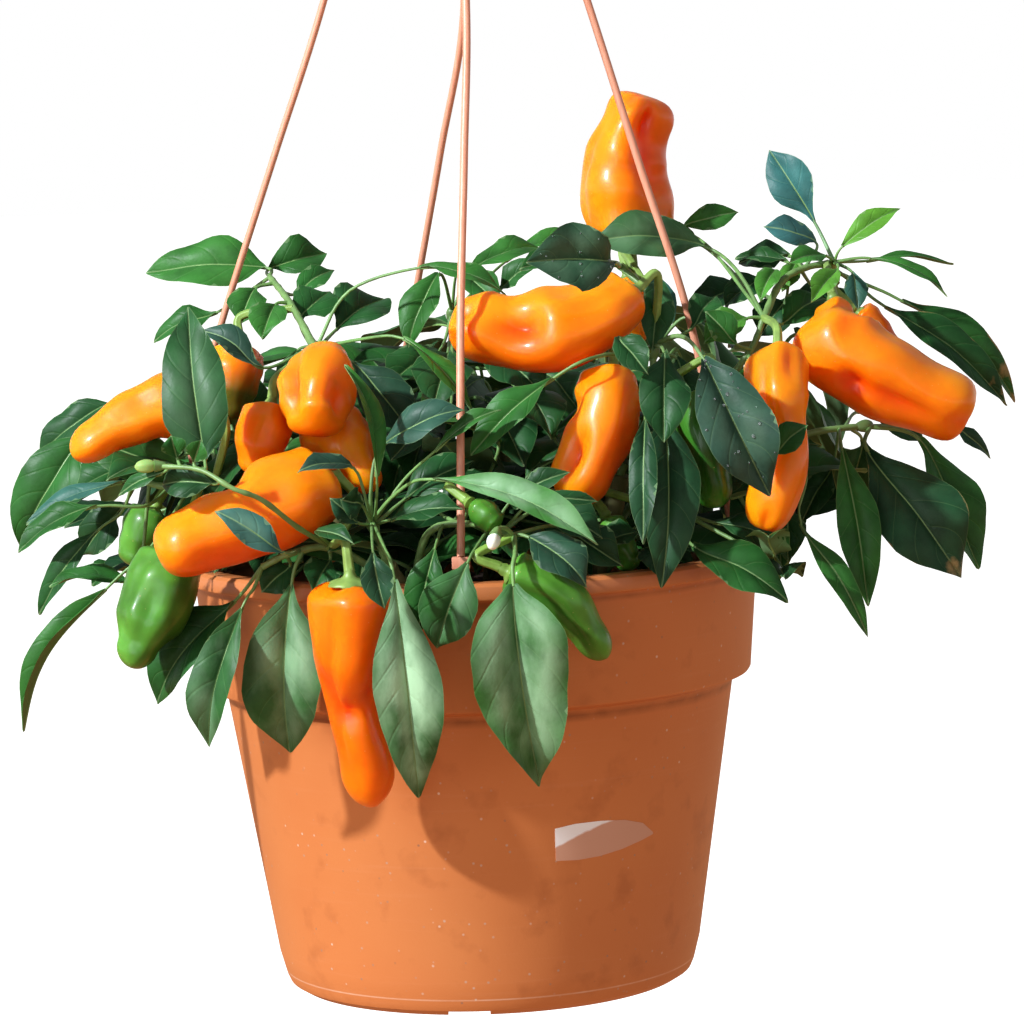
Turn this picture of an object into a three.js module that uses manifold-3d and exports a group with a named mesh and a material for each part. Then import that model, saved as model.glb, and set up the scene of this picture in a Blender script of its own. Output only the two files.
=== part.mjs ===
// A pepper plant in a hanging plastic pot: woody trunks in potting soil, leafy stems that
// carry ripe and unripe fruit, and a moulded hanger made of a hook and four strands.
//
// Lengths are in millimetres. X runs to the right across the front, Y away from the viewer
// and Z up. The part's origin is the bearing point inside the hook. Everything is built in
// the pot's frame, whose origin lies on the pot's axis at the top edge of its collar.

import * as THREE from "three";
import Module from "manifold-3d";

const wasm = await Module();
wasm.setup();

// Driving dimensions
const GAP = 0.3;
const UP = new THREE.Vector3(0, 0, 1);

const POT = {
  sides: 32,
  collarRadius: 125,
  collarFootRadius: 121,
  collarHeight: 46.6,
  bodyTopRadius: 112.6,
  bodyTopLevel: -52.5,
  bodyFootRadius: 94.4,
  bodyFootLevel: -167,
  footRadius: 86,
  footInnerRadius: 79,
  footHeight: 3,
  baseLevel: -183.2,
  wall: 2.6,
  lipReach: 5,
  lipHeight: 7.8,
  notchWidth: 18,
  notchHeight: 2.2,
  drainRadius: 4.5,
  drainRing: 58,
  drainCount: 4,
};
const SOIL = { top: -15, mound: 5, ring: 0.55 };
const HANGER = {
  joinLevel: 429,
  bearingLevel: 484,
  bossRadius: 9.5,
  bossHeight: 14,
  socketRing: 5.6,
  socketDepth: 5,
  rodRadius: 3,
  archRadius: 13,
  strandRadius: 1.6,
  slotRing: 115.5,
  clipLevel: 15.5,
  clipHeight: 5,
  clipWidth: 7.6,
  clipDepth: 4,
  tongueWidth: 5.4,
  tongueDepth: 1.8,
  barbWidth: 8.4,
  barbHeight: 3,
  lugWidth: 14,
  lugDepth: 7,
  lugTop: 0,
  lugHeight: 7,
};
const BLADE = { halfThickness: 0.8, stalkRadius: 1.25, fold: 16, bow: 0.09, wave: 0.05 };
const STATIONS = [
  { upTo: 13.5, shares: [0.26, 0.72] },
  { upTo: 25, shares: [0.17, 0.48, 0.82] },
  { upTo: 60, shares: [0.13, 0.36, 0.62, 0.86] },
];

// The front view that places the plant. A picture point and its depth, which is how many
// millimetres it lies in front of the pot's axis, give a point in the pot's frame.
const EYE = new THREE.Vector3(0.78, -1800, 201.6);
const VIEW = { pitch: -0.098, yaw: 0.009, roll: -0.037, focal: 4060, centre: 512 };
const FORWARD = new THREE.Vector3(
  Math.sin(VIEW.yaw) * Math.cos(VIEW.pitch),
  Math.cos(VIEW.yaw) * Math.cos(VIEW.pitch),
  Math.sin(VIEW.pitch),
);
const LEVEL_RIGHT = FORWARD.clone().cross(UP).normalize();
const LEVEL_UP = LEVEL_RIGHT.clone().cross(FORWARD);
const RIGHT = LEVEL_RIGHT.clone()
  .multiplyScalar(Math.cos(VIEW.roll))
  .addScaledVector(LEVEL_UP, Math.sin(VIEW.roll));
const ABOVE = LEVEL_UP.clone()
  .multiplyScalar(Math.cos(VIEW.roll))
  .addScaledVector(LEVEL_RIGHT, -Math.sin(VIEW.roll));

function at(across, down, depth) {
  const ray = FORWARD.clone()
    .addScaledVector(RIGHT, (across - VIEW.centre) / VIEW.focal)
    .addScaledVector(ABOVE, -(down - VIEW.centre) / VIEW.focal);
  return EYE.clone().addScaledVector(ray, (-depth - EYE.y) / ray.y);
}

// A point moved towards the viewer along its own line of sight
function nearer(point, distance) {
  const sight = EYE.clone().sub(point);
  return point.clone().addScaledVector(sight, distance / -sight.y);
}

// Seeded draw between two limits
let seed = 20371;
function draw(low, high) {
  seed = (seed * 16807) % 2147483647;
  return low + ((high - low) * seed) / 2147483647;
}

// Smooth line through points: a uniform Catmull-Rom spline, read at 0 to points.length - 1
function onLine(points, where) {
  const last = points.length - 1;
  const i = Math.min(Math.max(Math.floor(where), 0), last - 1);
  const t = where - i;
  const b = points[i];
  const c = points[i + 1];
  const a = i > 0 ? points[i - 1] : b.clone().multiplyScalar(2).sub(c);
  const d = i + 2 <= last ? points[i + 2] : c.clone().multiplyScalar(2).sub(b);
  const weights = [
    -0.5 * t ** 3 + t ** 2 - 0.5 * t,
    1.5 * t ** 3 - 2.5 * t ** 2 + 1,
    -1.5 * t ** 3 + 2 * t ** 2 + 0.5 * t,
    0.5 * t ** 3 - 0.5 * t ** 2,
  ];
  const point = new THREE.Vector3();
  [a, b, c, d].forEach((p, k) => point.addScaledVector(p, weights[k]));
  return point;
}

function heading(points, where) {
  const last = points.length - 1;
  const from = onLine(points, Math.max(where - 0.02, 0));
  const to = onLine(points, Math.min(where + 0.02, last));
  return to.sub(from).normalize();
}

// Straight blend between listed values at listed stations
function blend(stations, values, where) {
  if (where <= stations[0]) return values[0];
  for (let i = 1; i < stations.length; i += 1) {
    if (where <= stations[i]) {
      const t = (where - stations[i - 1]) / (stations[i] - stations[i - 1]);
      const ease = t * t * (3 - 2 * t);
      return values[i - 1] + (values[i] - values[i - 1]) * ease;
    }
  }
  return values[values.length - 1];
}

// Solids and geometries

// Closed skin over rings of points that turn anticlockwise about the way they are listed.
// A paired skin is split alike on its upper and lower face, so that a thin blade stays open.
function skin(start, rings, end, paired = false) {
  const points = [start, ...rings.flat(), end];
  const count = rings[0].length;
  const faces = [];
  const corner = (ring, i) => 1 + ring * count + (i % count);
  for (let i = 0; i < count; i += 1) {
    faces.push([0, corner(0, i + 1), corner(0, i)]);
    faces.push([points.length - 1, corner(rings.length - 1, i), corner(rings.length - 1, i + 1)]);
  }
  for (let ring = 0; ring < rings.length - 1; ring += 1) {
    for (let i = 0; i < count; i += 1) {
      const a = corner(ring, i);
      const b = corner(ring, i + 1);
      const c = corner(ring + 1, i + 1);
      const d = corner(ring + 1, i);
      if (paired && i % 2) faces.push([a, b, d], [b, c, d]);
      else faces.push([a, b, c], [a, c, d]);
    }
  }
  return new wasm.Manifold(
    new wasm.Mesh({
      numProp: 3,
      vertProperties: new Float32Array(points.flatMap((p) => [p.x, p.y, p.z])),
      triVerts: new Uint32Array(faces.flat()),
    }),
  );
}

function middle(ring) {
  const sum = new THREE.Vector3();
  ring.forEach((p) => sum.add(p));
  return sum.divideScalar(ring.length);
}

// Tube through stations, each with a centre, a heading and a radius
function tube(stations, sides) {
  let across = new THREE.Vector3(0.31, 0.17, 0.93);
  const rings = stations.map(({ centre, way, radius }) => {
    across = across.clone().addScaledVector(way, -across.dot(way));
    if (across.length() < 1e-3) across.set(way.z, way.x, way.y).cross(way);
    across.normalize();
    const along = way.clone().cross(across);
    return Array.from({ length: sides }, (_, i) => {
      const turn = (i / sides) * Math.PI * 2;
      return centre
        .clone()
        .addScaledVector(across, radius * Math.cos(turn))
        .addScaledVector(along, radius * Math.sin(turn));
    });
  });
  return skin(middle(rings[0]), rings, middle(rings.at(-1)));
}

function tubeOnLine(points, radii, sides, steps, extra = 0) {
  const last = points.length - 1;
  const stations = Array.from({ length: steps + 1 }, (_, i) => {
    const where = (i / steps) * last;
    return {
      centre: onLine(points, where),
      way: heading(points, where),
      radius: radii[0] + ((radii[1] - radii[0]) * i) / steps + extra,
    };
  });
  return tube(stations, sides);
}

// Solid of a three.js geometry, standing where the given matrix puts it
function solidOf(geometry, matrix = new THREE.Matrix4()) {
  const plain = geometry.index ? geometry.toNonIndexed() : geometry.clone();
  const placed = plain.applyMatrix4(matrix).getAttribute("position");
  const seen = new Map();
  const corners = [];
  const vertices = [];
  for (let i = 0; i < placed.count; i += 1) {
    const p = [placed.getX(i), placed.getY(i), placed.getZ(i)];
    const key = p.map((value) => Math.round(value * 1e4)).join();
    if (!seen.has(key)) {
      seen.set(key, vertices.length / 3);
      vertices.push(...p);
    }
    corners.push(seen.get(key));
  }
  const triangles = [];
  for (let i = 0; i < corners.length; i += 3) {
    const [a, b, c] = corners.slice(i, i + 3);
    if (a !== b && b !== c && c !== a) triangles.push(a, b, c);
  }
  return new wasm.Manifold(
    new wasm.Mesh({
      numProp: 3,
      vertProperties: new Float32Array(vertices),
      triVerts: new Uint32Array(triangles),
    }),
  );
}

function block(width, depth, height, matrix) {
  return solidOf(new THREE.BoxGeometry(width, depth, height), matrix);
}

// Solid of revolution about Z, from radius and height pairs listed from the axis outwards
function turned(profile, sides) {
  const points = profile.map(([radius, height]) => new THREE.Vector2(radius, height));
  const upright = new THREE.Matrix4().makeRotationX(Math.PI / 2);
  return solidOf(new THREE.LatheGeometry(points, sides), upright);
}

const root = new THREE.Group();
const potFrame = new THREE.Group();
potFrame.position.z = -HANGER.bearingLevel;
root.add(potFrame);

const FINISHES = {
  pot: { color: 0xc97a4a, roughness: 0.55 },
  soil: { color: 0x2c2119, roughness: 0.95 },
  hanger: { color: 0xdc9472, roughness: 0.5 },
  wood: { color: 0x6f7a45, roughness: 0.75 },
  foliage: { color: 0x356b3d, roughness: 0.5 },
  ripe: { color: 0xf98a12, roughness: 0.2 },
  unripe: { color: 0x4f8a2a, roughness: 0.22 },
  bud: { color: 0xe9ecdc, roughness: 0.5 },
};

function addPiece(name, solid, finish) {
  const { vertProperties, triVerts } = solid.getMesh();
  const geometry = new THREE.BufferGeometry()
    .setAttribute("position", new THREE.BufferAttribute(new Float32Array(vertProperties), 3))
    .setIndex(new THREE.BufferAttribute(new Uint32Array(triVerts), 1));
  geometry.computeVertexNormals();
  const material = new THREE.MeshStandardMaterial({ ...FINISHES[finish], metalness: 0 });
  const mesh = new THREE.Mesh(geometry, material);
  mesh.name = name;
  potFrame.add(mesh);
}

// Of a solid that a cut has left in several bodies, the largest
function mainBody(solid) {
  return solid.decompose().sort((a, b) => b.volume() - a.volume())[0];
}

// Hanger: four strands from the rim to the hook's boss, each with a moulded clip whose
// tongue goes down through a lug on the pot's inner wall and ends in a barb
const STRANDS = [
  {
    name: "strand_front",
    turn: -3,
    line: [at(466, 0, 50), at(464, 160, 68), at(460.5, 330, 89)],
  },
  {
    name: "strand_right",
    turn: 78,
    line: [at(587, 0, 10), at(638, 160, 14), at(691, 325, 19)],
  },
  {
    name: "strand_back",
    turn: 203,
    line: [at(464, 0, -46), at(440, 155, -64), at(411, 320, -83)],
  },
  {
    name: "strand_left",
    turn: 260,
    line: [at(324, 0, -9), at(273, 160, -12), at(221, 325, -16), at(190, 442, -18)],
  },
];

// Direction in plan, turned clockwise from the front as seen from above the right-hand side
function facing(turn) {
  const angle = THREE.MathUtils.degToRad(turn);
  return new THREE.Vector3(Math.sin(angle), -Math.cos(angle), 0);
}

function atRim(turn, radius, level) {
  const spot = facing(turn).multiplyScalar(radius);
  return new THREE.Matrix4()
    .makeRotationZ(THREE.MathUtils.degToRad(turn))
    .setPosition(spot.x, spot.y, level);
}

function strandLine({ turn, line }) {
  const foot = facing(turn).multiplyScalar(HANGER.slotRing);
  const middleOfJoin = facing(turn).multiplyScalar(HANGER.socketRing).setZ(HANGER.joinLevel);
  const slope = line[0].clone().sub(middleOfJoin).normalize();
  const top = middleOfJoin.addScaledVector(slope, -HANGER.socketDepth);
  const between = top.clone().lerp(line[0], 0.5);
  return [top, between, ...line, foot.setZ(HANGER.clipLevel + HANGER.clipHeight / 2)];
}

function makeStrand(strand) {
  const { turn } = strand;
  const { slotRing, clipLevel, clipHeight, lugTop, lugHeight, barbHeight } = HANGER;
  const radii = [HANGER.strandRadius, HANGER.strandRadius];
  const barbTop = lugTop - lugHeight - GAP;
  const tongueHeight = clipLevel - barbTop + 1;
  return tubeOnLine(strandLine(strand), radii, 6, 10)
    .add(block(HANGER.clipWidth, HANGER.clipDepth, clipHeight, atRim(turn, slotRing, clipLevel)))
    .add(
      block(
        HANGER.tongueWidth,
        HANGER.tongueDepth,
        tongueHeight,
        atRim(turn, slotRing, barbTop - 1 + tongueHeight / 2),
      ),
    )
    .add(
      block(
        HANGER.barbWidth,
        HANGER.tongueDepth,
        barbHeight,
        atRim(turn, slotRing, barbTop - barbHeight / 2),
      ),
    );
}

// Hook: a round rod that leaves the boss, swings to one side and arches over the origin
function makeHook() {
  const { joinLevel, bearingLevel, archRadius, rodRadius, bossRadius, bossHeight } = HANGER;
  const archLevel = bearingLevel + rodRadius - archRadius;
  const bossTop = joinLevel + bossHeight;
  const line = [
    new THREE.Vector3(0, 0, bossTop - 4),
    new THREE.Vector3(0.5, 0, bossTop + 3),
    new THREE.Vector3(archRadius * 0.75, 0, archLevel - archRadius * 0.85),
  ];
  for (let turn = 0; turn <= 180; turn += 22.5) {
    const angle = THREE.MathUtils.degToRad(turn);
    const rise = archLevel + archRadius * Math.sin(angle);
    line.push(new THREE.Vector3(archRadius * Math.cos(angle), 0, rise));
  }
  line.push(new THREE.Vector3(-archRadius - 3.5, 0, archLevel - 7));
  const boss = turned(
    [
      [0, joinLevel],
      [bossRadius - 1, joinLevel],
      [bossRadius, joinLevel + 1],
      [bossRadius - 0.8, joinLevel + 7],
      [rodRadius + 1, bossTop],
      [0, bossTop],
    ],
    16,
  );
  let hook = boss.add(tubeOnLine(line, [rodRadius, rodRadius], 8, 17));
  STRANDS.forEach((strand) => {
    const [top, below] = strandLine(strand);
    const way = below.clone().sub(top).normalize();
    const radius = HANGER.strandRadius + GAP;
    const socket = [
      { centre: top.clone().addScaledVector(way, -GAP), way, radius },
      { centre: top.clone().addScaledVector(way, HANGER.socketDepth + 12), way, radius },
    ];
    hook = hook.subtract(tube(socket, 6));
  });
  return hook;
}

// Pot: injection moulded, with a stepped collar, a rolled lip, a foot ring and drain holes
function makePot() {
  const lip = POT.collarRadius + POT.lipReach;
  const innerTop = POT.collarRadius - POT.wall - 2.6;
  const floor = POT.baseLevel + POT.footHeight + POT.wall;
  let pot = turned(
    [
      [0, POT.baseLevel + POT.footHeight],
      [POT.footInnerRadius, POT.baseLevel + POT.footHeight],
      [POT.footInnerRadius + 0.6, POT.baseLevel],
      [POT.footRadius, POT.baseLevel],
      [POT.footRadius + 5.4, POT.baseLevel + 5],
      [POT.bodyFootRadius, POT.bodyFootLevel],
      [POT.bodyTopRadius, POT.bodyTopLevel],
      [POT.collarFootRadius - 0.8, -POT.collarHeight - 0.8],
      [POT.collarFootRadius, -POT.collarHeight],
      [POT.collarRadius, 0],
      [lip, 0.8],
      [lip - 0.6, POT.lipHeight - 1.2],
      [lip - 2.4, POT.lipHeight],
      [innerTop, POT.lipHeight],
      [POT.collarFootRadius - POT.wall - 0.4, -POT.collarHeight + 1],
      [POT.bodyTopRadius - POT.wall, POT.bodyTopLevel - 1],
      [POT.bodyFootRadius - POT.wall, POT.bodyFootLevel],
      [POT.footRadius - 1, floor],
      [0, floor],
    ],
    POT.sides,
  );
  const { slotRing, lugWidth, lugDepth, lugHeight, lugTop, tongueWidth, tongueDepth } = HANGER;
  STRANDS.forEach(({ turn }) => {
    const middleLevel = lugTop - lugHeight / 2;
    const place = atRim(turn, slotRing + 1, middleLevel);
    const slot = atRim(turn, slotRing, middleLevel);
    pot = pot.add(block(lugWidth, lugDepth, lugHeight, place));
    pot = pot.subtract(
      block(tongueWidth + 2 * GAP, tongueDepth + 2 * GAP, lugHeight + 2, slot),
    );
  });
  const notch = new THREE.Matrix4().setPosition(-10, -POT.footRadius, POT.baseLevel);
  pot = pot.subtract(block(POT.notchWidth, 24, POT.notchHeight * 2, notch));
  for (let i = 0; i < POT.drainCount; i += 1) {
    const spot = facing((360 / POT.drainCount) * i + 30).multiplyScalar(POT.drainRing);
    const drill = new THREE.Matrix4()
      .makeRotationX(Math.PI / 2)
      .setPosition(spot.x, spot.y, floor - POT.wall / 2);
    const bit = new THREE.CylinderGeometry(POT.drainRadius, POT.drainRadius, 12, 8);
    pot = pot.subtract(solidOf(bit, drill));
  }
  return pot;
}

// Trunks: woody stem bases, each from below the soil's surface to its topmost fork.
// Their lines are given across, in front of the axis and above the collar's edge.
const TRUNKS = {
  left: { line: [[-46, 22, -70], [-48, 25, -14], [-57, 38, 18], [-63, 46, 44]], radii: [6, 4] },
  front: { line: [[-20, 70, -70], [-24, 76, -14], [-31, 88, 0], [-37, 96, 13]], radii: [5, 3.6] },
  right: { line: [[48, 34, -70], [50, 36, -14], [58, 44, 18], [64, 50, 44]], radii: [6, 4] },
  back: { line: [[6, -40, -70], [8, -44, -14], [12, -48, 24], [14, -50, 62]], radii: [6, 4] },
};
const TRUNK_STEPS = 6;

function trunkLine(trunk) {
  return TRUNKS[trunk].line.map(([across, depth, level]) => new THREE.Vector3(across, -depth, level));
}

function makeTrunk(trunk, extra = 0) {
  return tubeOnLine(trunkLine(trunk), TRUNKS[trunk].radii, 7, TRUNK_STEPS, extra);
}

// Soil: a low mound of potting mix that fills the pot, with a plain hole for each trunk
function makeSoil() {
  const floor = POT.baseLevel + POT.footHeight + POT.wall + GAP;
  const inside = (radius) => radius - POT.wall - GAP - 0.6;
  const rim = inside(POT.collarFootRadius) + 1.4;
  let soil = turned(
    [
      [0, floor],
      [POT.footRadius - 4, floor],
      [inside(POT.bodyFootRadius), POT.bodyFootLevel],
      [inside(POT.bodyTopRadius), POT.bodyTopLevel - 0.4],
      [inside(POT.collarFootRadius) - 0.4, -POT.collarHeight + 1.4],
      [rim, SOIL.top],
      [rim * SOIL.ring, SOIL.top + SOIL.mound * 0.75],
      [0, SOIL.top + SOIL.mound],
    ],
    POT.sides,
  );
  Object.keys(TRUNKS).forEach((trunk) => {
    soil = soil.subtract(makeTrunk(trunk, GAP));
  });
  return soil;
}

// Leafy stems. Each starts on a trunk, and its leaves leave it at the point of the stem
// nearest to their root, or at its crown where no root is given. A leaf's blade runs from
// its base to its tip, width is across the blade, and face turns its upper side: degrees
// from the front towards the right, then up.
const SHOOTS = [
  {
    name: "leafy_stem_left_crown",
    trunk: "left",
    start: 3,
    stems: [
      [at(316, 420, 30), at(317, 388, 33), at(314, 346, 46)],
      [at(314, 346, 46), at(290, 303, 20), at(270, 277, -18)],
    ],
    leaves: [
      { root: at(270, 277, -18), base: at(254, 272, -26), tip: at(147, 277, -34), width: 21, face: [-10, 50] },
      { root: at(272, 279, -16), base: at(275, 268, -32), tip: at(318, 255, -46), width: 13, face: [10, 45] },
      { root: at(284, 296, 8), base: at(296, 294, -10), tip: at(334, 270, -24), width: 9, face: [0, 60] },
      { root: at(274, 281, -8), base: at(256, 288, -4), tip: at(240, 323, 6), width: 13, face: [-10, 25] },
      { root: at(290, 303, 20), base: at(276, 304, 16), tip: at(262, 338, 24), width: 15, face: [-10, 15] },
      { root: at(270, 277, -18), base: at(218, 312, -36), tip: at(152, 340, -42), width: 11, face: [-20, 50] },
      { base: at(264, 368, 60), tip: at(202, 327, 54), width: 13, face: [0, 50] },
      { base: at(298, 350, 58), tip: at(282, 396, 70), width: 10, face: [-10, 30] },
      { base: at(352, 362, 70), tip: at(410, 430, 88), width: 22, face: [10, 20] },
      { via: at(362, 339, 68), base: at(402, 338, 80), tip: at(476, 412, 90), width: 11, face: [25, 60] },
      { via: at(348, 292, 42), base: at(418, 268, 50), tip: at(508, 289, 56), width: 12, face: [0, 60] },
      { base: at(336, 330, 20), tip: at(384, 300, -8), width: 20, face: [10, 60] },
      { base: at(300, 322, 22), tip: at(330, 292, 4), width: 14, face: [0, 60] },
    ],
  },
  {
    name: "leafy_stem_left_outer",
    trunk: "left",
    start: 2,
    stems: [[at(272, 462, 44), at(215, 480, 56), at(170, 487, 60), at(130, 478, 50)]],
    leaves: [
      { base: at(88, 438, 42), tip: at(16, 548, 38), width: 24, face: [-25, 18] },
      { via: at(128, 440, 24), base: at(112, 405, 8), tip: at(36, 458, 0), width: 15, face: [-20, 50] },
      { base: at(122, 482, 72), tip: at(25, 523, 70), width: 11, face: [-10, 70] },
      { root: at(170, 487, 60), via: at(145, 506, 84), base: at(98, 506, 88), tip: at(17, 551, 84), width: 15, face: [-10, 50] },
      { via: at(122, 512, 34), base: at(98, 530, 26), tip: at(40, 615, 18), width: 14, face: [-40, 20] },
      { root: at(190, 484, 58), via: at(152, 546, 78), base: at(107, 588, 80), tip: at(17, 731, 76), width: 14, face: [-50, 30], fold: 42 },
      { base: at(158, 458, 36), tip: at(103, 447, 30), width: 16, face: [-10, 35] },
      { base: at(120, 470, 22), tip: at(62, 505, 12), width: 20, face: [-20, 45] },
      { base: at(122, 508, 6), tip: at(82, 555, -8), width: 18, face: [-20, 20] },
      { root: at(215, 480, 56), base: at(212, 440, 30), tip: at(196, 392, 12), width: 22, face: [-15, 30] },
      { root: at(240, 475, 50), base: at(250, 430, 22), tip: at(232, 375, 2), width: 24, face: [0, 30] },
    ],
  },
  {
    name: "leafy_stem_front_crown",
    trunk: "front",
    start: 3,
    stems: [[at(380, 545, 100), at(371, 520, 104)]],
    leaves: [
      { via: at(388, 552, 140), base: at(402, 612, 152), tip: at(417, 806, 140), width: 31, face: [5, 5] },
      { base: at(373, 552, 156), tip: at(384, 608, 164), width: 13, face: [0, 5] },
      { via: at(398, 492, 112), base: at(432, 479, 124), tip: at(600, 542, 150), width: 16, face: [10, 50] },
      { via: at(371, 488, 108), base: at(380, 449, 106), tip: at(461, 406, 118), width: 17, face: [0, 40] },
      { via: at(404, 480, 104), base: at(434, 452, 112), tip: at(500, 408, 114), width: 8, face: [0, 55] },
      { base: at(358, 523, 118), tip: at(331, 499, 124), width: 10, face: [-20, 30] },
      { base: at(390, 520, 116), tip: at(462, 507, 128), width: 15, face: [5, 55] },
      { base: at(404, 500, 96), tip: at(474, 462, 90), width: 18, face: [0, 50] },
      { via: at(366, 500, 120), base: at(354, 468, 126), tip: at(299, 468, 138), width: 11, face: [-10, 50] },
      { base: at(362, 505, 104), tip: at(342, 500, 96), width: 13, face: [-10, 10] },
      { base: at(377, 478, 120), tip: at(347, 363, 108), width: 13, face: [60, 15] },
    ],
  },
  {
    name: "leafy_stem_front_left",
    trunk: "front",
    start: 2.3,
    stems: [
      [at(336, 549, 106), at(292, 553, 110), at(262, 567, 110)],
      [at(336, 549, 106), at(300, 529, 128), at(262, 500, 143), at(232, 488, 147), at(200, 470, 140), at(160, 466, 130)],
    ],
    thin: 1,
    leaves: [
      { root: at(302, 552, 110), base: at(292, 583, 118), tip: at(288, 757, 114), width: 31, face: [-8, 6] },
      { root: at(262, 567, 110), via: at(254, 588, 116), base: at(243, 606, 120), tip: at(203, 750, 122), width: 20, face: [-25, 6], fold: 30 },
      { root: at(262, 567, 110), base: at(236, 600, 100), tip: at(150, 703, 104), width: 23, face: [-35, 30] },
      { root: at(300, 552, 110), base: at(284, 553, 146), tip: at(217, 510, 154), width: 12, face: [0, 30] },
      { root: at(285, 553, 110), base: at(290, 566, 104), tip: at(262, 592, 108), width: 15, face: [0, 20] },
      { root: at(330, 549, 106), base: at(330, 560, 98), tip: at(314, 590, 106), width: 15, face: [0, 20] },
      { root: at(222, 482, 145), base: at(214, 484, 134), tip: at(160, 484, 122), width: 14, face: [-5, 20] },
      { root: at(206, 474, 141), base: at(205, 462, 120), tip: at(187, 303, 92), width: 28, face: [-5, 5] },
      { root: at(180, 468, 135), base: at(177, 458, 132), tip: at(171, 436, 134), width: 10, face: [0, 20] },
      { root: at(195, 469, 138), base: at(194, 462, 134), tip: at(201, 440, 138), width: 9, face: [0, 20] },
      { root: at(172, 467, 133), base: at(162, 473, 130), tip: at(118, 495, 122), width: 8, face: [-10, 45] },
    ],
  },
  {
    name: "leafy_stem_front_right",
    trunk: "front",
    start: 1.6,
    stems: [[at(428, 534, 96), at(474, 524, 103), at(514, 536, 132)]],
    leaves: [
      { via: at(515, 554, 148), base: at(513, 582, 156), tip: at(537, 790, 140), width: 41, face: [0, 8] },
      { root: at(470, 527, 118), via: at(476, 548, 134), base: at(468, 562, 142), tip: at(435, 648, 140), width: 21, face: [-10, 10] },
      { root: at(440, 534, 106), base: at(435, 548, 130), tip: at(418, 634, 134), width: 14, face: [-15, 5] },
      { base: at(528, 537, 128), tip: at(588, 583, 136), width: 19, face: [15, 25] },
      { root: at(505, 532, 130), base: at(556, 526, 110), tip: at(622, 566, 114), width: 18, face: [10, 35] },
      { root: at(490, 526, 124), base: at(540, 508, 102), tip: at(602, 538, 104), width: 17, face: [10, 40] },
      { root: at(478, 524, 120), base: at(512, 500, 112), tip: at(569, 472, 116), width: 10, face: [0, 35] },
      { root: at(490, 526, 124), base: at(534, 500, 118), tip: at(598, 501, 118), width: 7, face: [0, 40] },
      { root: at(450, 531, 110), base: at(440, 510, 84), tip: at(500, 476, 76), width: 18, face: [0, 40] },
    ],
  },
  {
    name: "leafy_stem_middle_back",
    trunk: "back",
    start: 3,
    stems: [[at(480, 430, -36), at(455, 360, -14), at(452, 310, 4)]],
    leaves: [
      { base: at(440, 274, 26), tip: at(406, 345, 38), width: 17, face: [-30, 15] },
      { base: at(458, 272, 14), tip: at(500, 306, 34), width: 15, face: [10, 40] },
      { base: at(470, 272, -6), tip: at(548, 244, -22), width: 16, face: [0, 60] },
      { base: at(505, 262, -24), tip: at(592, 231, -36), width: 11, face: [0, 60] },
      { base: at(496, 292, 22), tip: at(540, 262, 28), width: 12, face: [0, 45] },
      { base: at(440, 350, 22), tip: at(388, 385, 50), width: 20, face: [-10, 35] },
      { base: at(448, 352, 30), tip: at(432, 408, 62), width: 24, face: [0, 30] },
      { base: at(480, 350, 20), tip: at(544, 395, 48), width: 24, face: [10, 30] },
      { root: at(470, 400, -26), base: at(484, 400, 16), tip: at(524, 466, 62), width: 26, face: [0, 30] },
      { root: at(470, 400, -26), base: at(440, 420, 10), tip: at(410, 478, 62), width: 26, face: [-10, 30] },
      { root: at(470, 400, -26), base: at(476, 440, 6), tip: at(466, 522, 40), width: 27, face: [0, 30] },
      { root: at(470, 400, -26), base: at(520, 425, -6), tip: at(566, 496, 26), width: 27, face: [10, 30] },
      { root: at(460, 370, -18), base: at(412, 392, -14), tip: at(364, 452, 14), width: 25, face: [-10, 30] },
      { root: at(455, 360, -14), base: at(540, 372, -14), tip: at(596, 438, 12), width: 24, face: [10, 35] },
    ],
  },
  {
    name: "leafy_stem_mid_right",
    trunk: "right",
    start: 3,
    stems: [
      [at(648, 410, 62), at(654, 345, 58)],
      [at(654, 345, 58), at(657, 304, 30), at(620, 266, 12)],
    ],
    leaves: [
      { via: at(680, 336, 84), base: at(703, 358, 104), tip: at(771, 497, 118), width: 33, face: [5, 10] },
      { via: at(592, 358, 98), base: at(554, 378, 98), tip: at(470, 455, 100), width: 16, face: [-10, 40] },
      { base: at(620, 338, 84), tip: at(647, 373, 96), width: 14, face: [0, 20] },
      { root: at(650, 395, 62), base: at(663, 412, 84), tip: at(663, 588, 116), width: 26, face: [5, 5] },
      { root: at(648, 405, 62), base: at(641, 418, 84), tip: at(634, 540, 116), width: 17, face: [-12, 5] },
      { base: at(676, 358, 56), tip: at(692, 412, 70), width: 17, face: [15, 20] },
      { root: at(620, 266, 12), base: at(619, 275, 68), tip: at(527, 262, 84), width: 26, face: [-5, 35] },
      { root: at(640, 288, 30), base: at(655, 272, 36), tip: at(658, 338, 44), width: 15, face: [20, 10] },
      { root: at(620, 266, 12), base: at(590, 262, 14), tip: at(520, 270, 22), width: 16, face: [0, 50] },
      { root: at(654, 345, 58), base: at(690, 330, 40), tip: at(716, 296, 22), width: 13, face: [10, 50] },
    ],
  },
  {
    name: "leafy_stem_right_crown",
    trunk: "right",
    start: 2.4,
    stems: [
      [at(702, 410, 46), at(748, 354, 46), at(764, 318, 42)],
      [at(764, 318, 42), at(780, 284, 28), at(802, 269, 20), at(834, 262, 12)],
    ],
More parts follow.
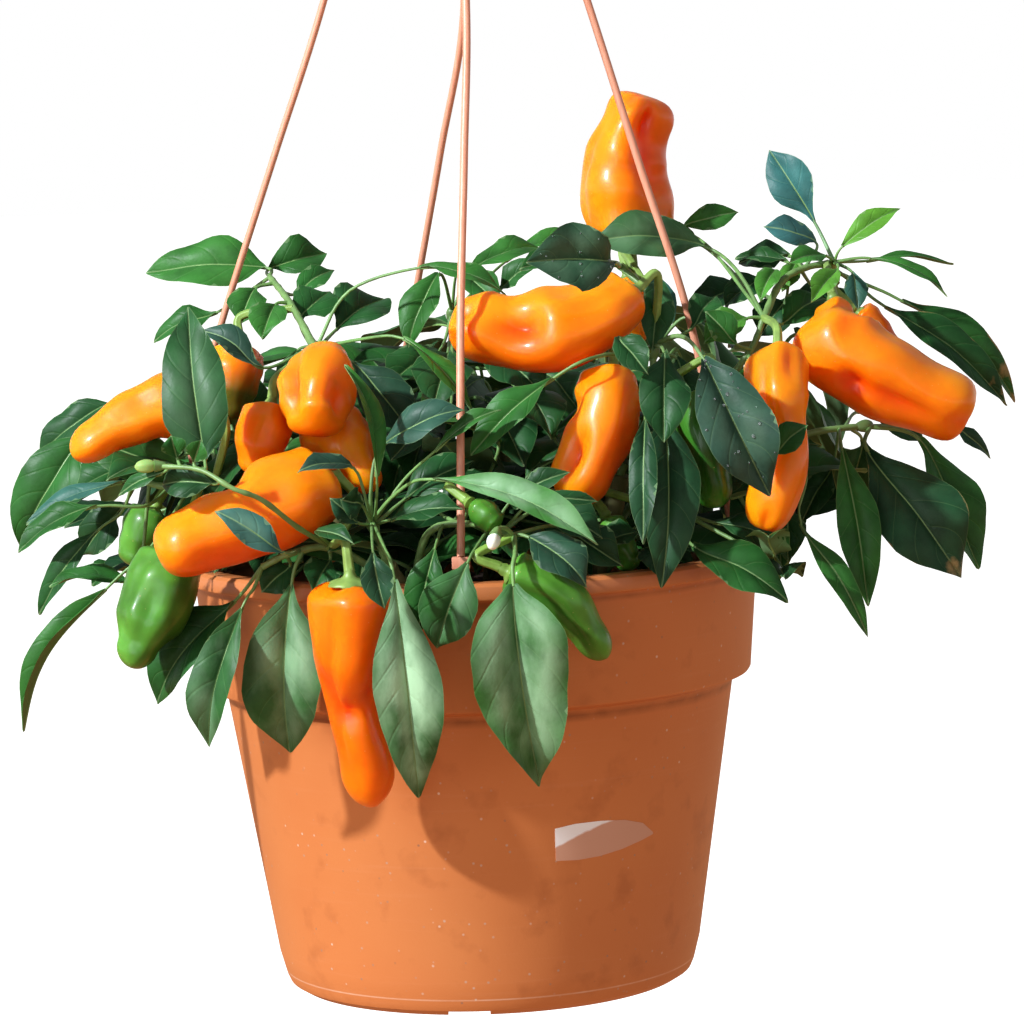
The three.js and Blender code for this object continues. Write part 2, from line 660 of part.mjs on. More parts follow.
    leaves: [
      { root: at(764, 318, 42), via: at(738, 276, 30), base: at(700, 253, 12), tip: at(606, 264, -6), width: 17, face: [0, 60] },
      { root: at(752, 350, 46), base: at(736, 344, 56), tip: at(706, 312, 58), width: 13, face: [-10, 30] },
      { root: at(764, 318, 42), base: at(782, 324, 42), tip: at(826, 298, 30), width: 15, face: [10, 40] },
      { root: at(764, 318, 42), base: at(722, 238, -18), tip: at(736, 213, -28), width: 12, face: [0, 50] },
      { root: at(764, 318, 42), via: at(736, 290, 10), base: at(700, 230, -22), tip: at(682, 224, -30), width: 10, face: [0, 50] },
      { root: at(834, 262, 12), base: at(815, 223, 2), tip: at(770, 151, -8), width: 18, face: [-25, 20] },
      { root: at(806, 268, 19), base: at(817, 244, 16), tip: at(765, 226, 24), width: 13, face: [0, 30] },
      { root: at(834, 262, 12), base: at(842, 247, 14), tip: at(900, 207, 8), width: 11, face: [0, 40] },
      { root: at(834, 262, 12), base: at(868, 258, 14), tip: at(950, 292, 20), width: 9, face: [10, 60] },
      { root: at(834, 262, 12), base: at(866, 261, -2), tip: at(953, 266, -16), width: 7, face: [0, 70] },
      { root: at(834, 262, 12), base: at(852, 272, 32), tip: at(858, 309, 42), width: 10, face: [10, 10] },
      { root: at(790, 277, 24), base: at(788, 262, -6), tip: at(735, 258, -20), width: 11, face: [-10, 60] },
      { root: at(826, 263, 14), via: at(858, 286, 2), base: at(884, 306, 4), tip: at(1010, 405, 0), width: 16, face: [15, 40] },
      { root: at(818, 265, 16), via: at(860, 282, -10), base: at(900, 300, -14), tip: at(1022, 400, -20), width: 14, face: [15, 50] },
      { root: at(800, 270, 20), base: at(812, 286, 0), tip: at(852, 340, -8), width: 20, face: [20, 40] },
      { root: at(782, 284, 28), base: at(762, 280, -4), tip: at(724, 306, -10), width: 18, face: [-10, 50] },
    ],
  },
  {
    name: "leafy_stem_right_low",
    trunk: "right",
    start: 1.7,
    stems: [[at(720, 474, 44), at(800, 436, 46), at(870, 425, 34)]],
    leaves: [
      { base: at(868, 452, 50), tip: at(962, 578, 70), width: 32, face: [12, 8] },
      { base: at(918, 438, 36), tip: at(977, 570, 50), width: 21, face: [30, 10] },
      { base: at(945, 426, 14), tip: at(992, 457, 8), width: 8, face: [20, 30] },
      { root: at(836, 430, 40), base: at(842, 448, 58), tip: at(868, 607, 74), width: 20, face: [5, 5] },
      { root: at(800, 436, 46), via: at(806, 480, 64), base: at(800, 522, 70), tip: at(871, 636, 84), width: 11, face: [20, 30] },
      { root: at(790, 440, 46), base: at(788, 500, 56), tip: at(788, 562, 62), width: 14, face: [10, 20] },
      { root: at(836, 430, 40), base: at(832, 468, 34), tip: at(802, 522, 42), width: 14, face: [-10, 20] },
      { root: at(850, 428, 37), base: at(862, 440, 18), tip: at(846, 500, 8), width: 20, face: [15, 20] },
      { root: at(760, 455, 46), base: at(750, 480, 30), tip: at(752, 552, 44), width: 20, face: [10, 20] },
      { root: at(840, 429, 38), base: at(858, 412, 4), tip: at(924, 440, -10), width: 22, face: [20, 45] },
    ],
  },
  {
    name: "leafy_stem_right_front",
    trunk: "right",
    start: 1.25,
    stems: [[at(648, 524, 54), at(672, 508, 68)]],
    leaves: [
      { base: at(692, 545, 102), tip: at(791, 599, 112), width: 21, face: [10, 38] },
      { base: at(712, 522, 74), tip: at(788, 548, 82), width: 16, face: [10, 45] },
      { base: at(700, 496, 60), tip: at(744, 470, 52), width: 16, face: [10, 45] },
      { base: at(640, 530, 92), tip: at(594, 550, 98), width: 13, face: [0, 45] },
    ],
  },
];

// Leafy stems of the back and the core, which the front view hides: each leans out from
// its trunk in its own direction, and its leaves are placed by rule
const HIDDEN_SHOOTS = [
  { name: "leafy_stem_back_1", trunk: "back", start: 2.6, turn: 190, reach: 112, rise: 36, leaves: 6 },
  { name: "leafy_stem_back_2", trunk: "back", start: 2.2, turn: 156, reach: 118, rise: 50, leaves: 6 },
  { name: "leafy_stem_back_3", trunk: "back", start: 1.8, turn: 122, reach: 122, rise: 62, leaves: 6 },
  { name: "leafy_stem_back_4", trunk: "back", start: 1.5, turn: 232, reach: 124, rise: 60, leaves: 6 },
  { name: "leafy_stem_back_left", trunk: "left", start: 1.5, turn: 222, reach: 84, rise: 42, leaves: 6 },
  { name: "leafy_stem_back_right", trunk: "right", start: 1.9, turn: 132, reach: 104, rise: 50, leaves: 6 },
];

// Fruits, each from the shoulder that hangs on its stalk to its tip. Girths are across the
// fruit at the listed shares of its length, and dents are pressed in beside its lobes.
const GIRTH_STATIONS = [0.08, 0.3, 0.55, 0.82];
const FRUITS = [
  {
    name: "fruit_front_hanging",
    shoot: "leafy_stem_front_left",
    root: at(330, 549, 106),
    via: at(338, 532, 134),
    axis: [at(350, 581, 142), at(352, 645, 140), at(352, 700, 134), at(370, 806, 124)],
    girths: [35, 32, 23, 21],
    dents: [{ along: 0.47, turn: -10, deep: 4 }],
  },
  {
    name: "fruit_left_long",
    shoot: "leafy_stem_front_left",
    root: at(334, 549, 106),
    via: at(356, 502, 98),
    axis: [at(328, 479, 98), at(250, 517, 114), at(158, 557, 122)],
    girths: [34, 39, 34, 26],
    dents: [{ along: 0.42, turn: 60, deep: 3 }],
  },
  {
    name: "fruit_upper_left",
    shoot: "leafy_stem_left_outer",
    root: at(215, 480, 56),
    via: at(226, 428, 72),
    axis: [at(200, 402, 66), at(146, 410, 70), at(74, 456, 74)],
    girths: [28, 27, 24, 18],
    dents: [{ along: 0.5, turn: 80, deep: 2.5 }],
  },
  {
    name: "fruit_amber",
    shoot: "leafy_stem_left_crown",
    axis: [at(238, 348, 24), at(233, 385, 30), at(228, 424, 34)],
    girths: [24, 25, 22, 17],
    dents: [],
  },
  {
    name: "fruit_left_small",
    shoot: "leafy_stem_left_crown",
    axis: [at(270, 408, 74), at(262, 440, 80), at(256, 476, 80)],
    girths: [22, 24, 22, 17],
    dents: [],
  },
  {
    name: "fruit_centre_left",
    shoot: "leafy_stem_left_crown",
    axis: [at(324, 360, 72), at(317, 392, 90), at(308, 426, 102)],
    girths: [29, 33, 30, 24],
    dents: [{ along: 0.5, turn: 40, deep: 2.5 }],
  },
  {
    name: "fruit_centre_left_low",
    shoot: "leafy_stem_left_crown",
    axis: [at(326, 424, 50), at(342, 448, 64), at(373, 489, 80)],
    girths: [25, 28, 23, 13],
    dents: [],
  },
  {
    name: "fruit_top",
    shoot: "leafy_stem_mid_right",
    root: at(620, 266, 12),
    axis: [at(632, 238, -12), at(627, 168, -14), at(644, 99, -10)],
    girths: [35, 38, 35, 26],
    dents: [{ along: 0.5, turn: 20, deep: 3 }, { along: 0.8, turn: -30, deep: 2.5 }],
  },
  {
    name: "fruit_middle",
    shoot: "leafy_stem_mid_right",
    axis: [at(631, 295, 68), at(590, 314, 77), at(538, 331, 76), at(453, 317, 68)],
    girths: [26, 35, 37, 24],
    dents: [{ along: 0.62, turn: 4, deep: 4 }],
  },
  {
    name: "fruit_middle_rear",
    shoot: "leafy_stem_mid_right",
    root: at(645, 296, 34),
    axis: [at(628, 282, -4), at(632, 310, 2), at(636, 344, 8)],
    girths: [17, 17, 15, 12],
    dents: [],
  },
  {
    name: "fruit_middle_low",
    shoot: "leafy_stem_mid_right",
    axis: [at(612, 371, 76), at(603, 424, 86), at(572, 504, 90)],
    girths: [26, 30, 30, 24],
    dents: [{ along: 0.6, turn: 0, deep: 3 }],
  },
  {
    name: "fruit_right_narrow",
    shoot: "leafy_stem_right_crown",
    root: at(764, 318, 42),
    axis: [at(778, 352, 70), at(793, 400, 86), at(794, 448, 92), at(758, 528, 96)],
    girths: [27, 26, 19, 20],
    dents: [{ along: 0.62, turn: 40, deep: 2.5 }],
  },
  {
    name: "fruit_right_large",
    shoot: "leafy_stem_right_crown",
    root: at(826, 263, 14),
    axis: [at(829, 306, 38), at(846, 346, 52), at(900, 384, 58), at(968, 413, 58)],
    girths: [27, 38, 33, 28],
    dents: [{ along: 0.5, turn: 20, deep: 4 }, { along: 0.25, turn: -10, deep: 2 }],
  },
  {
    name: "fruit_right_hidden",
    shoot: "leafy_stem_right_crown",
    root: at(830, 262, 12),
    axis: [at(866, 312, 22), at(880, 326, 22), at(902, 352, 20)],
    girths: [14, 15, 14, 11],
    dents: [],
  },
  {
    name: "fruit_green_left",
    green: true,
    shoot: "leafy_stem_left_outer",
    root: at(200, 482, 57),
    axis: [at(176, 553, 90), at(152, 612, 98), at(131, 668, 102)],
    girths: [29, 31, 28, 21],
    dents: [],
  },
  {
    name: "fruit_green_left_rear",
    green: true,
    shoot: "leafy_stem_left_outer",
    axis: [at(154, 510, 36), at(142, 536, 38), at(132, 566, 38)],
    girths: [19, 21, 19, 15],
    dents: [],
  },
  {
    name: "fruit_green_front",
    green: true,
    shoot: "leafy_stem_front_right",
    axis: [at(509, 572, 138), at(560, 598, 138), at(607, 658, 134)],
    girths: [20, 21, 21, 20],
    dents: [{ along: 0.7, turn: -40, deep: 2 }],
  },
  {
    name: "fruit_green_rim",
    green: true,
    shoot: "leafy_stem_right_front",
    axis: [at(608, 520, 82), at(620, 543, 86), at(633, 570, 88)],
    girths: [13, 14, 13, 11],
    dents: [],
  },
  {
    name: "fruit_green_young",
    green: true,
    shoot: "leafy_stem_front_right",
    axis: [at(474, 506, 128), at(486, 515, 132), at(499, 526, 134)],
    girths: [9, 12, 12, 10],
    dents: [],
  },
  {
    name: "fruit_green_right",
    green: true,
    shoot: "leafy_stem_mid_right",
    axis: [at(706, 392, 80), at(704, 440, 86), at(718, 508, 88)],
    girths: [23, 24, 23, 18],
    dents: [],
  },
  {
    name: "fruit_back_1",
    shoot: "leafy_stem_back_1",
    axis: [at(420, 430, -112), at(414, 470, -122), at(410, 520, -128)],
    girths: [30, 32, 26, 18],
    dents: [],
  },
  {
    name: "fruit_back_2",
    shoot: "leafy_stem_back_3",
    axis: [at(640, 400, -96), at(664, 430, -106), at(690, 470, -110)],
    girths: [28, 31, 27, 20],
    dents: [],
  },
  {
    name: "fruit_back_3",
    green: true,
    shoot: "leafy_stem_back_4",
    axis: [at(330, 450, -92), at(318, 480, -98), at(306, 520, -100)],
    girths: [24, 26, 23, 17],
    dents: [],
  },
];
const FRUIT_STATIONS = {
  long: [0, 0.04, 0.14, 0.3, 0.46, 0.62, 0.78, 0.92],
  short: [0, 0.08, 0.3, 0.58, 0.86],
};
const SHORT = 46;
const FRUIT_SIDES = 8;

// Flower buds, each at the end of its own stalk
const BUDS = [
  { name: "bud_front", shoot: "leafy_stem_front_right", base: at(496, 533, 145), tip: at(490, 551, 151), width: 6 },
  { name: "bud_left", shoot: "leafy_stem_front_left", base: at(156, 466, 130), tip: at(137, 467, 132), width: 6 },
];

// Everything that a later leaf has to stay clear of, as balls
const taken = [];

function claim(centre, radius, owner) {
  taken.push({ centre, radius, owner });
}

// Free width between a ball and the pot's wall, lip and soil
function roomAtPot({ centre, radius }) {
  const out = Math.hypot(centre.x, centre.y);
  const lip = POT.collarRadius + POT.lipReach;
  const inner = POT.collarFootRadius - POT.wall;
  const rise = centre.z - POT.lipHeight;
  if (rise > 0) return Math.hypot(rise, Math.max(out - lip, inner - out, 0)) - radius;
  if (out > inner + 4) return out - lip - radius;
  return Math.min(inner - out, centre.z - SOIL.top - SOIL.mound) - radius;
}

function room(balls, owner) {
  let least = Infinity;
  for (const ball of balls) {
    least = Math.min(least, roomAtPot(ball));
    for (const other of taken) {
      if (other.owner === owner) continue;
      const gap = ball.centre.distanceTo(other.centre) - ball.radius - other.radius;
      if (gap < least) least = gap;
    }
  }
  return least;
}

function nearestOnStems(lines, point) {
  let best = null;
  lines.forEach((line) => {
    for (let i = 0; i <= 40; i += 1) {
      const spot = onLine(line, (i / 40) * (line.length - 1));
      if (!best || spot.distanceTo(point) < best.distanceTo(point)) best = spot;
    }
  });
  return best;
}

const STEM_RADII = { main: [2.4, 1.9], thin: [1.6, 1.3] };

function stemRadii(shoot, index) {
  return shoot.thin === index ? STEM_RADII.thin : STEM_RADII.main;
}

// A leaf's line, from its root on the stem to its tip, and the way its upper side faces
function leafLine(leaf, lift, tipLift) {
  const base = nearer(leaf.base, lift);
  const tip = nearer(leaf.tip, tipLift);
  const [turn, rise] = leaf.face.map(THREE.MathUtils.degToRad);
  const face = new THREE.Vector3(
    Math.sin(turn) * Math.cos(rise),
    -Math.cos(turn) * Math.cos(rise),
    Math.sin(rise),
  );
  const bow = base.distanceTo(tip) * BLADE.bow;
  const belly = base.clone().add(tip).multiplyScalar(0.5).addScaledVector(face, bow);
  const stalk = leaf.via ? [leaf.origin, nearer(leaf.via, lift / 2), base] : [leaf.origin, base];
  return { line: [...stalk, belly, tip], face, bladeFrom: stalk.length - 1 };
}

// Half the blade's width at a share of its length: rounded at the base, drawn out at the tip
function halfWidth(leaf, share) {
  return (leaf.width / 2) * Math.sin(Math.PI * share ** 0.84) ** 0.78 * (1 - 0.1 * share);
}

function bladeFrame({ line, face, bladeFrom }, share) {
  const where = bladeFrom + share * 2;
  const way = heading(line, where);
  const normal = face.clone().addScaledVector(way, -face.dot(way)).normalize();
  return { centre: onLine(line, where), way, normal, side: way.clone().cross(normal) };
}

// Where the margin lies at a share of the length, on either side of the midrib
function margin(leaf, frame, share, side) {
  const reach = halfWidth(leaf, share);
  const fold = THREE.MathUtils.degToRad(leaf.fold ?? BLADE.fold);
  const wave = leaf.width * BLADE.wave * Math.sin(Math.PI * 3 * share + (side > 0 ? 0 : 1.3));
  return frame.centre
    .clone()
    .addScaledVector(frame.side, side * reach * Math.cos(fold))
    .addScaledVector(frame.normal, reach * Math.sin(fold) + wave);
}

const BALL = { radius: 2.5, spacing: 6 };

function leafBalls(leaf, shape) {
  const balls = [];
  const [start, end] = [shape.line[shape.bladeFrom], shape.line.at(-1)];
  const rows = Math.max(Math.round(start.distanceTo(end) / BALL.spacing), 3);
  for (let row = 0; row < rows; row += 1) {
    const share = 0.06 + (0.88 * row) / (rows - 1);
    const frame = bladeFrame(shape, share);
    const steps = Math.max(Math.round(halfWidth(leaf, share) / BALL.spacing), 1);
    balls.push({ centre: frame.centre, radius: BALL.radius });
    [-1, 1].forEach((side) => {
      const edge = margin(leaf, frame, share, side);
      for (let i = 1; i <= steps; i += 1) {
        const centre = frame.centre.clone().lerp(edge, (0.9 * i) / steps);
        balls.push({ centre, radius: BALL.radius });
      }
    });
  }
  [0.4, 0.6, 0.8, 0.98].forEach((share) => {
    balls.push({ centre: onLine(shape.line, shape.bladeFrom * share), radius: 1.6 });
  });
  return balls;
}

// Lifts tried in turn, in millimetres towards the viewer, until a leaf is clear
const LIFTS = [0, 4, -4, 8, -8, 12, -12, 16, -16, 20, -20];

function placeLeaf(leaf, owner) {
  let best = null;
  for (const lift of LIFTS) {
    for (const tipLift of [lift, lift * 1.8]) {
      const shape = leafLine(leaf, lift, tipLift);
      const balls = leafBalls(leaf, shape);
      const space = room(balls, owner);
      if (!best || space > best.space) best = { shape, balls, space };
      if (space >= 0) break;
    }
    if (best.space >= 0) break;
  }
  return best;
}

function makeLeaf(leaf, shape) {
  const { halfThickness, stalkRadius } = BLADE;
  const diamond = ({ centre, normal, side }, reach, rise) => [
    centre.clone().addScaledVector(side, -reach),
    centre.clone().addScaledVector(normal, rise),
    centre.clone().addScaledVector(side, reach),
    centre.clone().addScaledVector(normal, -rise),
  ];
  const stalkFrame = (where) => {
    const way = heading(shape.line, where);
    const normal = shape.face.clone().addScaledVector(way, -shape.face.dot(way)).normalize();
    return { centre: onLine(shape.line, where), normal, side: way.clone().cross(normal) };
  };
  const rings = Array.from({ length: shape.bladeFrom + 1 }, (_, where) =>
    diamond(stalkFrame(where), stalkRadius, stalkRadius),
  );
  STATIONS.find(({ upTo }) => leaf.width < upTo).shares.forEach((share) => {
    const frame = bladeFrame(shape, share);
    rings.push([
      margin(leaf, frame, share, -1),
      frame.centre.clone().addScaledVector(frame.normal, halfThickness),
      margin(leaf, frame, share, 1),
      frame.centre.clone().addScaledVector(frame.normal, -halfThickness),
    ]);
  });
  return skin(shape.line[0], rings, shape.line.at(-1), true);
}

// Radius of a fruit at a share of its length and an angle from the side that faces front
function fruitRadius(fruit, share, angle) {
  let radius = blend(GIRTH_STATIONS, fruit.girths, share) / 2;
  radius *= blend([0, 0.02, 0.08], [0.5, 0.72, 1], share);
  if (share > 0.82) radius *= Math.sqrt(Math.max(1 - ((share - 0.82) / 0.18) ** 2, 0.02));
  radius *= 1 + 0.07 * (1 - 0.6 * share) * Math.cos(3 * angle + 0.6);
  fruit.dents.forEach(({ along, turn, deep }) => {
    const around = THREE.MathUtils.degToRad(turn);
    const away = Math.atan2(Math.sin(angle - around), Math.cos(angle - around));
    radius -= deep * Math.exp(-(((share - along) / 0.13) ** 2) - (away / 0.55) ** 2);
  });
  return radius;
}

function fruitFrame(fruit, share) {
  const where = share * (fruit.axis.length - 1);
  const centre = onLine(fruit.axis, where);
  const way = heading(fruit.axis, where);
  const front = new THREE.Vector3(0, -1, 0).addScaledVector(way, way.y).normalize();
  return { centre, way, front, side: way.clone().cross(front) };
}

function makeFruit(fruit) {
  const length = fruit.axis[0].distanceTo(fruit.axis.at(-1));
  const stations = length < SHORT ? FRUIT_STATIONS.short : FRUIT_STATIONS.long;
  const rings = stations.map((share) => {
    const { centre, front, side } = fruitFrame(fruit, share);
    return Array.from({ length: FRUIT_SIDES }, (_, i) => {
      const angle = (i / FRUIT_SIDES) * Math.PI * 2;
      const radius = fruitRadius(fruit, share, angle);
      return centre
        .clone()
        .addScaledVector(front, radius * Math.cos(angle))
        .addScaledVector(side, radius * Math.sin(angle));
    });
  });
  return skin(fruit.axis[0], rings, fruit.axis.at(-1));
}

// Stalk of a fruit, which widens into the green cap on the fruit's shoulder
function makeFruitStalk(fruit, origin) {
  const { centre, way } = fruitFrame(fruit, 0);
  const cap = fruit.girths[0] * 0.19;
  const above = (distance) => centre.clone().addScaledVector(way, -distance);
  const bend = fruit.via ?? above(15);
  const line = [origin, bend, above(4.5)];
  const stations = [0, 1].map((where) => ({
    centre: onLine(line, where),
    way: heading(line, where),
    radius: 1.5 + where * 0.4,
  }));
  stations.push({ centre: above(3.6), way, radius: 2.4 });
  stations.push({ centre: above(GAP), way, radius: cap });
  return { solid: tube(stations, 5), line };
}

function makeBudStalk(bud, origin) {
  const way = bud.tip.clone().sub(bud.base).normalize();
  const above = (distance) => bud.base.clone().addScaledVector(way, -distance);
  const stations = [
    { centre: origin, way: above(3).sub(origin).normalize(), radius: 0.9 },
    { centre: above(3), way, radius: 1.1 },
    { centre: above(GAP), way, radius: 2 },
  ];
  return tube(stations, 6);
}

function makeBud(bud) {
  const length = bud.tip.distanceTo(bud.base);
  const way = bud.tip.clone().sub(bud.base).normalize();
  const stations = [0.04, 0.2, 0.5, 0.8, 0.96].map((share) => ({
    centre: bud.base.clone().addScaledVector(way, length * share),
    way,
    radius: (bud.width / 2) * Math.sqrt(1 - (2 * share - 1) ** 2),
  }));
  return tube(stations, 8);
}

// The crown is the swollen end of a shoot's first stem; its leaves leave it in turn
const CROWN = { length: 7, radius: 3.3 };

function onCrown(line, share) {
  const way = heading(line, line.length - 1);
  return line.at(-1).clone().addScaledVector(way, -share * CROWN.length * 0.7);
}

function makeCrown(line) {
  const way = heading(line, line.length - 1);
  const { length, radius } = CROWN;
  const stations = [
    [0.15, 0.5],
    [-0.15, 0.95],
    [-0.6, 1],
    [-1, 0.6],
  ].map(([along, share]) => ({
    centre: line.at(-1).clone().addScaledVector(way, along * length),
    way,
    radius: radius * share,
  }));
  return tube(stations.reverse(), 6);
}

// A hidden stem leans out, arches over and droops; its leaves turn by the golden angle
function planHiddenShoot({ name, trunk, start, turn, reach, rise, leaves: count }) {
  const out = facing(turn);
  const origin = onLine(trunkLine(trunk), start);
  const point = (share, level) =>
    origin.clone().addScaledVector(out, reach * share).addScaledVector(UP, level);
  const stem = [point(0.32, rise * 0.55), point(0.66, rise), point(1, rise * 0.9)];
  const whole = [origin, ...stem];
  const leafTry = (i) => {
    const share = 0.3 + (0.7 * (i + 1)) / count;
    const origin = onLine(whole, share * 3);
    const spin = turn + (i % 2 ? 1 : -1) * draw(15, 110) * (1.2 - 0.8 * share);
    const way = facing(spin);
    const length = draw(50, 78);
    const climb = draw(4, 36) * (i % 3 ? 1 : 0.3);
    const droop = THREE.MathUtils.degToRad(draw(-10, 75));
    const base = origin.clone().addScaledVector(way, draw(20, 34)).addScaledVector(UP, climb);
    const tip = base
      .clone()
      .addScaledVector(way, length * Math.cos(droop))
      .addScaledVector(UP, -length * Math.sin(droop));
    const face = [spin, draw(45, 70)];
    return { origin, base, tip, width: length * draw(0.38, 0.5), face };
  };
  return { name, trunk, start, stems: [stem], leaves: [], count, leafTry };
}

// A hidden leaf is drawn anew until it is clear of all that stands, or else left out
const TRIES = 40;
const HIDDEN = { top: 108, side: 175, back: 212 };

function isHidden(point) {
  return point.z < HIDDEN.top && Math.abs(point.x) < HIDDEN.side && point.y < HIDDEN.back;
}

function growHiddenLeaves({ count, leafTry, leaves, name }) {
  for (let i = 0; i < count; i += 1) {
    for (let attempt = 0; attempt < TRIES; attempt += 1) {
      const leaf = leafTry(i);
      const shape = leafLine(leaf, 0, 0);
      const balls = leafBalls(leaf, shape);
      if (isHidden(leaf.tip) && isHidden(leaf.base) && room(balls, `${name} stem`) > 0) {
        balls.forEach((ball) => claim(ball.centre, ball.radius, "leaf"));
        leaves.push({ ...leaf, shape });
        break;
      }
    }
  }
}

const shoots = [...SHOOTS, ...HIDDEN_SHOOTS.map(planHiddenShoot)];

// The strands, trunks, fruits and stems are fixed first
STRANDS.forEach((strand) => {
  const line = strandLine(strand);
  for (let where = 1; where <= line.length - 1; where += 0.04) {
    claim(onLine(line, where), HANGER.strandRadius, strand.name);
  }
});
FRUITS.forEach((fruit) => {
  for (let share = 0.06; share < 0.95; share += 0.11) {
    const reach = (blend(GIRTH_STATIONS, fruit.girths, share) / 2) * 1.05;
    claim(fruitFrame(fruit, share).centre, reach, fruit.name);
  }
});
shoots.forEach((shoot) => {
  const origin = onLine(trunkLine(shoot.trunk), shoot.start);
  shoot.lines = shoot.stems.map((stem, index) => (index ? stem : [origin, ...stem]));
  shoot.lines.forEach((line, index) => {
    for (let where = 0; where <= line.length - 1; where += 0.08) {
      claim(onLine(line, where), stemRadii(shoot, index)[0], `${shoot.name} stem`);
    }
  });
});

addPiece("pot", makePot(), "pot");
addPiece("soil", makeSoil(), "soil");
addPiece("hook", makeHook(), "hanger");
STRANDS.forEach((strand) => addPiece(strand.name, makeStrand(strand), "hanger"));
Object.keys(TRUNKS).forEach((trunk) => addPiece(`trunk_${trunk}`, makeTrunk(trunk), "wood"));
FRUITS.forEach((fruit) => addPiece(fruit.name, makeFruit(fruit), fruit.green ? "unripe" : "ripe"));
BUDS.forEach((bud) => addPiece(bud.name, makeBud(bud), "bud"));

shoots.forEach((shoot) => {
  const parts = shoot.lines.map((line, index) =>
    tubeOnLine(line, stemRadii(shoot, index), 6, line.length),
  );
  const loose = shoot.leaves.filter((leaf) => !leaf.root);
  loose.forEach((leaf, index) => {
    leaf.root = onCrown(shoot.lines[0], index / loose.length);
  });
  if (loose.length > 2) parts.push(makeCrown(shoot.lines[0]));
  FRUITS.filter((fruit) => fruit.shoot === shoot.name).forEach((fruit) => {
    const origin = nearestOnStems(shoot.lines, fruit.root ?? fruit.axis[0]);
    const { solid, line } = makeFruitStalk(fruit, origin);
    parts.push(solid);
    [0.5, 1, 1.5].forEach((where) => claim(onLine(line, where), 2, `${shoot.name} stem`));
  });
  BUDS.filter((bud) => bud.shoot === shoot.name).forEach((bud) => {
    parts.push(makeBudStalk(bud, nearestOnStems(shoot.lines, bud.base)));
  });
  shoot.leaves.forEach((leaf) => {
    leaf.origin = nearestOnStems(shoot.lines, leaf.root);
    const { shape, balls } = placeLeaf(leaf, `${shoot.name} stem`);
    balls.forEach((ball) => claim(ball.centre, ball.radius, "leaf"));
    parts.push(makeLeaf(leaf, shape));
  });
  if (shoot.leafTry) {
    growHiddenLeaves(shoot);
    shoot.leaves.forEach((leaf) => parts.push(makeLeaf(leaf, leaf.shape)));
  }
  const whole = wasm.Manifold.union(parts).subtract(makeTrunk(shoot.trunk, GAP));
  addPiece(shoot.name, mainBody(whole), "foliage");
});

export default root;
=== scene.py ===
"""A pepper plant in a hanging plastic pot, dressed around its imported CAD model.

The plant stands in a terracotta-coloured moulded pot that hangs from a hook by four strands.
Lengths in this file are in millimetres in the pot's frame: X to the right across the front,
Y away from the viewer, Z up, with the origin on the pot's axis at the top of its collar.
"""

import math

import bpy
import numpy as np
from mathutils import Matrix


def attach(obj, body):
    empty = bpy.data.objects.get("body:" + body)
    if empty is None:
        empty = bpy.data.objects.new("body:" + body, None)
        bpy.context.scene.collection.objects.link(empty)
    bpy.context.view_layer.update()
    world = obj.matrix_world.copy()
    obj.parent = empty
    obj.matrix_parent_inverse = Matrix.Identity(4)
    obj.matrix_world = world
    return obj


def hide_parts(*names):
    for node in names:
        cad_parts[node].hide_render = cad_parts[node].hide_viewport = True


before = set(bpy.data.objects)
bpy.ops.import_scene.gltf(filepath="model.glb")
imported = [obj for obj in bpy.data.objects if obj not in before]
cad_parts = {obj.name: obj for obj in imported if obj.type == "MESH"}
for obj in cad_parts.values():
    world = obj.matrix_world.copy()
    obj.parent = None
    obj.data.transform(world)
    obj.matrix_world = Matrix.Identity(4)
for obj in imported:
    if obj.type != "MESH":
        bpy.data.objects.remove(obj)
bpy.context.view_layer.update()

# The view
# The camera looks a little down on the pot from 1.8 m, through a long lens. The plant's own
# points are given as the picture's pixels and a depth in front of the pot's axis.
PICTURE = 1024
MM = 0.001
POT_LEVEL = -484.0
EYE = np.array((0.78, -1800.0, 201.6))
PITCH, YAW, ROLL, FOCAL = -0.098, 0.009, -0.037, 4060.0
UP = np.array((0.0, 0.0, 1.0))


def unit(vector):
    return vector / (np.linalg.norm(vector) or 1.0)


forward = np.array(
    (math.sin(YAW) * math.cos(PITCH), math.cos(YAW) * math.cos(PITCH), math.sin(PITCH))
)
level_right = unit(np.cross(forward, UP))
level_up = np.cross(level_right, forward)
picture_right = level_right * math.cos(ROLL) + level_up * math.sin(ROLL)
picture_up = level_up * math.cos(ROLL) - level_right * math.sin(ROLL)


def at(across, down, depth):
    half = PICTURE / 2
    ray = forward + picture_right * ((across - half) / FOCAL) - picture_up * ((down - half) / FOCAL)
    return EYE + ray * ((-depth - EYE[1]) / ray[1])


def nearer(point, distance):
    sight = EYE - point
    return point + sight * (distance / -sight[1])


def in_metres(points):
    return (np.asarray(points, float).reshape(-1, 3) + (0, 0, POT_LEVEL)) * MM


def place_object(name, data):
    made = bpy.data.objects.new(name, data)
    bpy.context.scene.collection.objects.link(made)
    return made


SENSOR = 36.0
camera_data = bpy.data.cameras.new("camera")
camera_data.sensor_width = SENSOR
camera_data.lens = FOCAL * SENSOR / PICTURE
camera_data.clip_start = 0.1
camera_data.clip_end = 100
camera = place_object("camera", camera_data)
camera.rotation_mode = "QUATERNION"
camera.location = in_metres(EYE)[0]
turned = np.stack((picture_right, picture_up, -forward), axis=1)
camera.rotation_quaternion = Matrix(turned.tolist()).to_quaternion()
bpy.context.scene.camera = camera

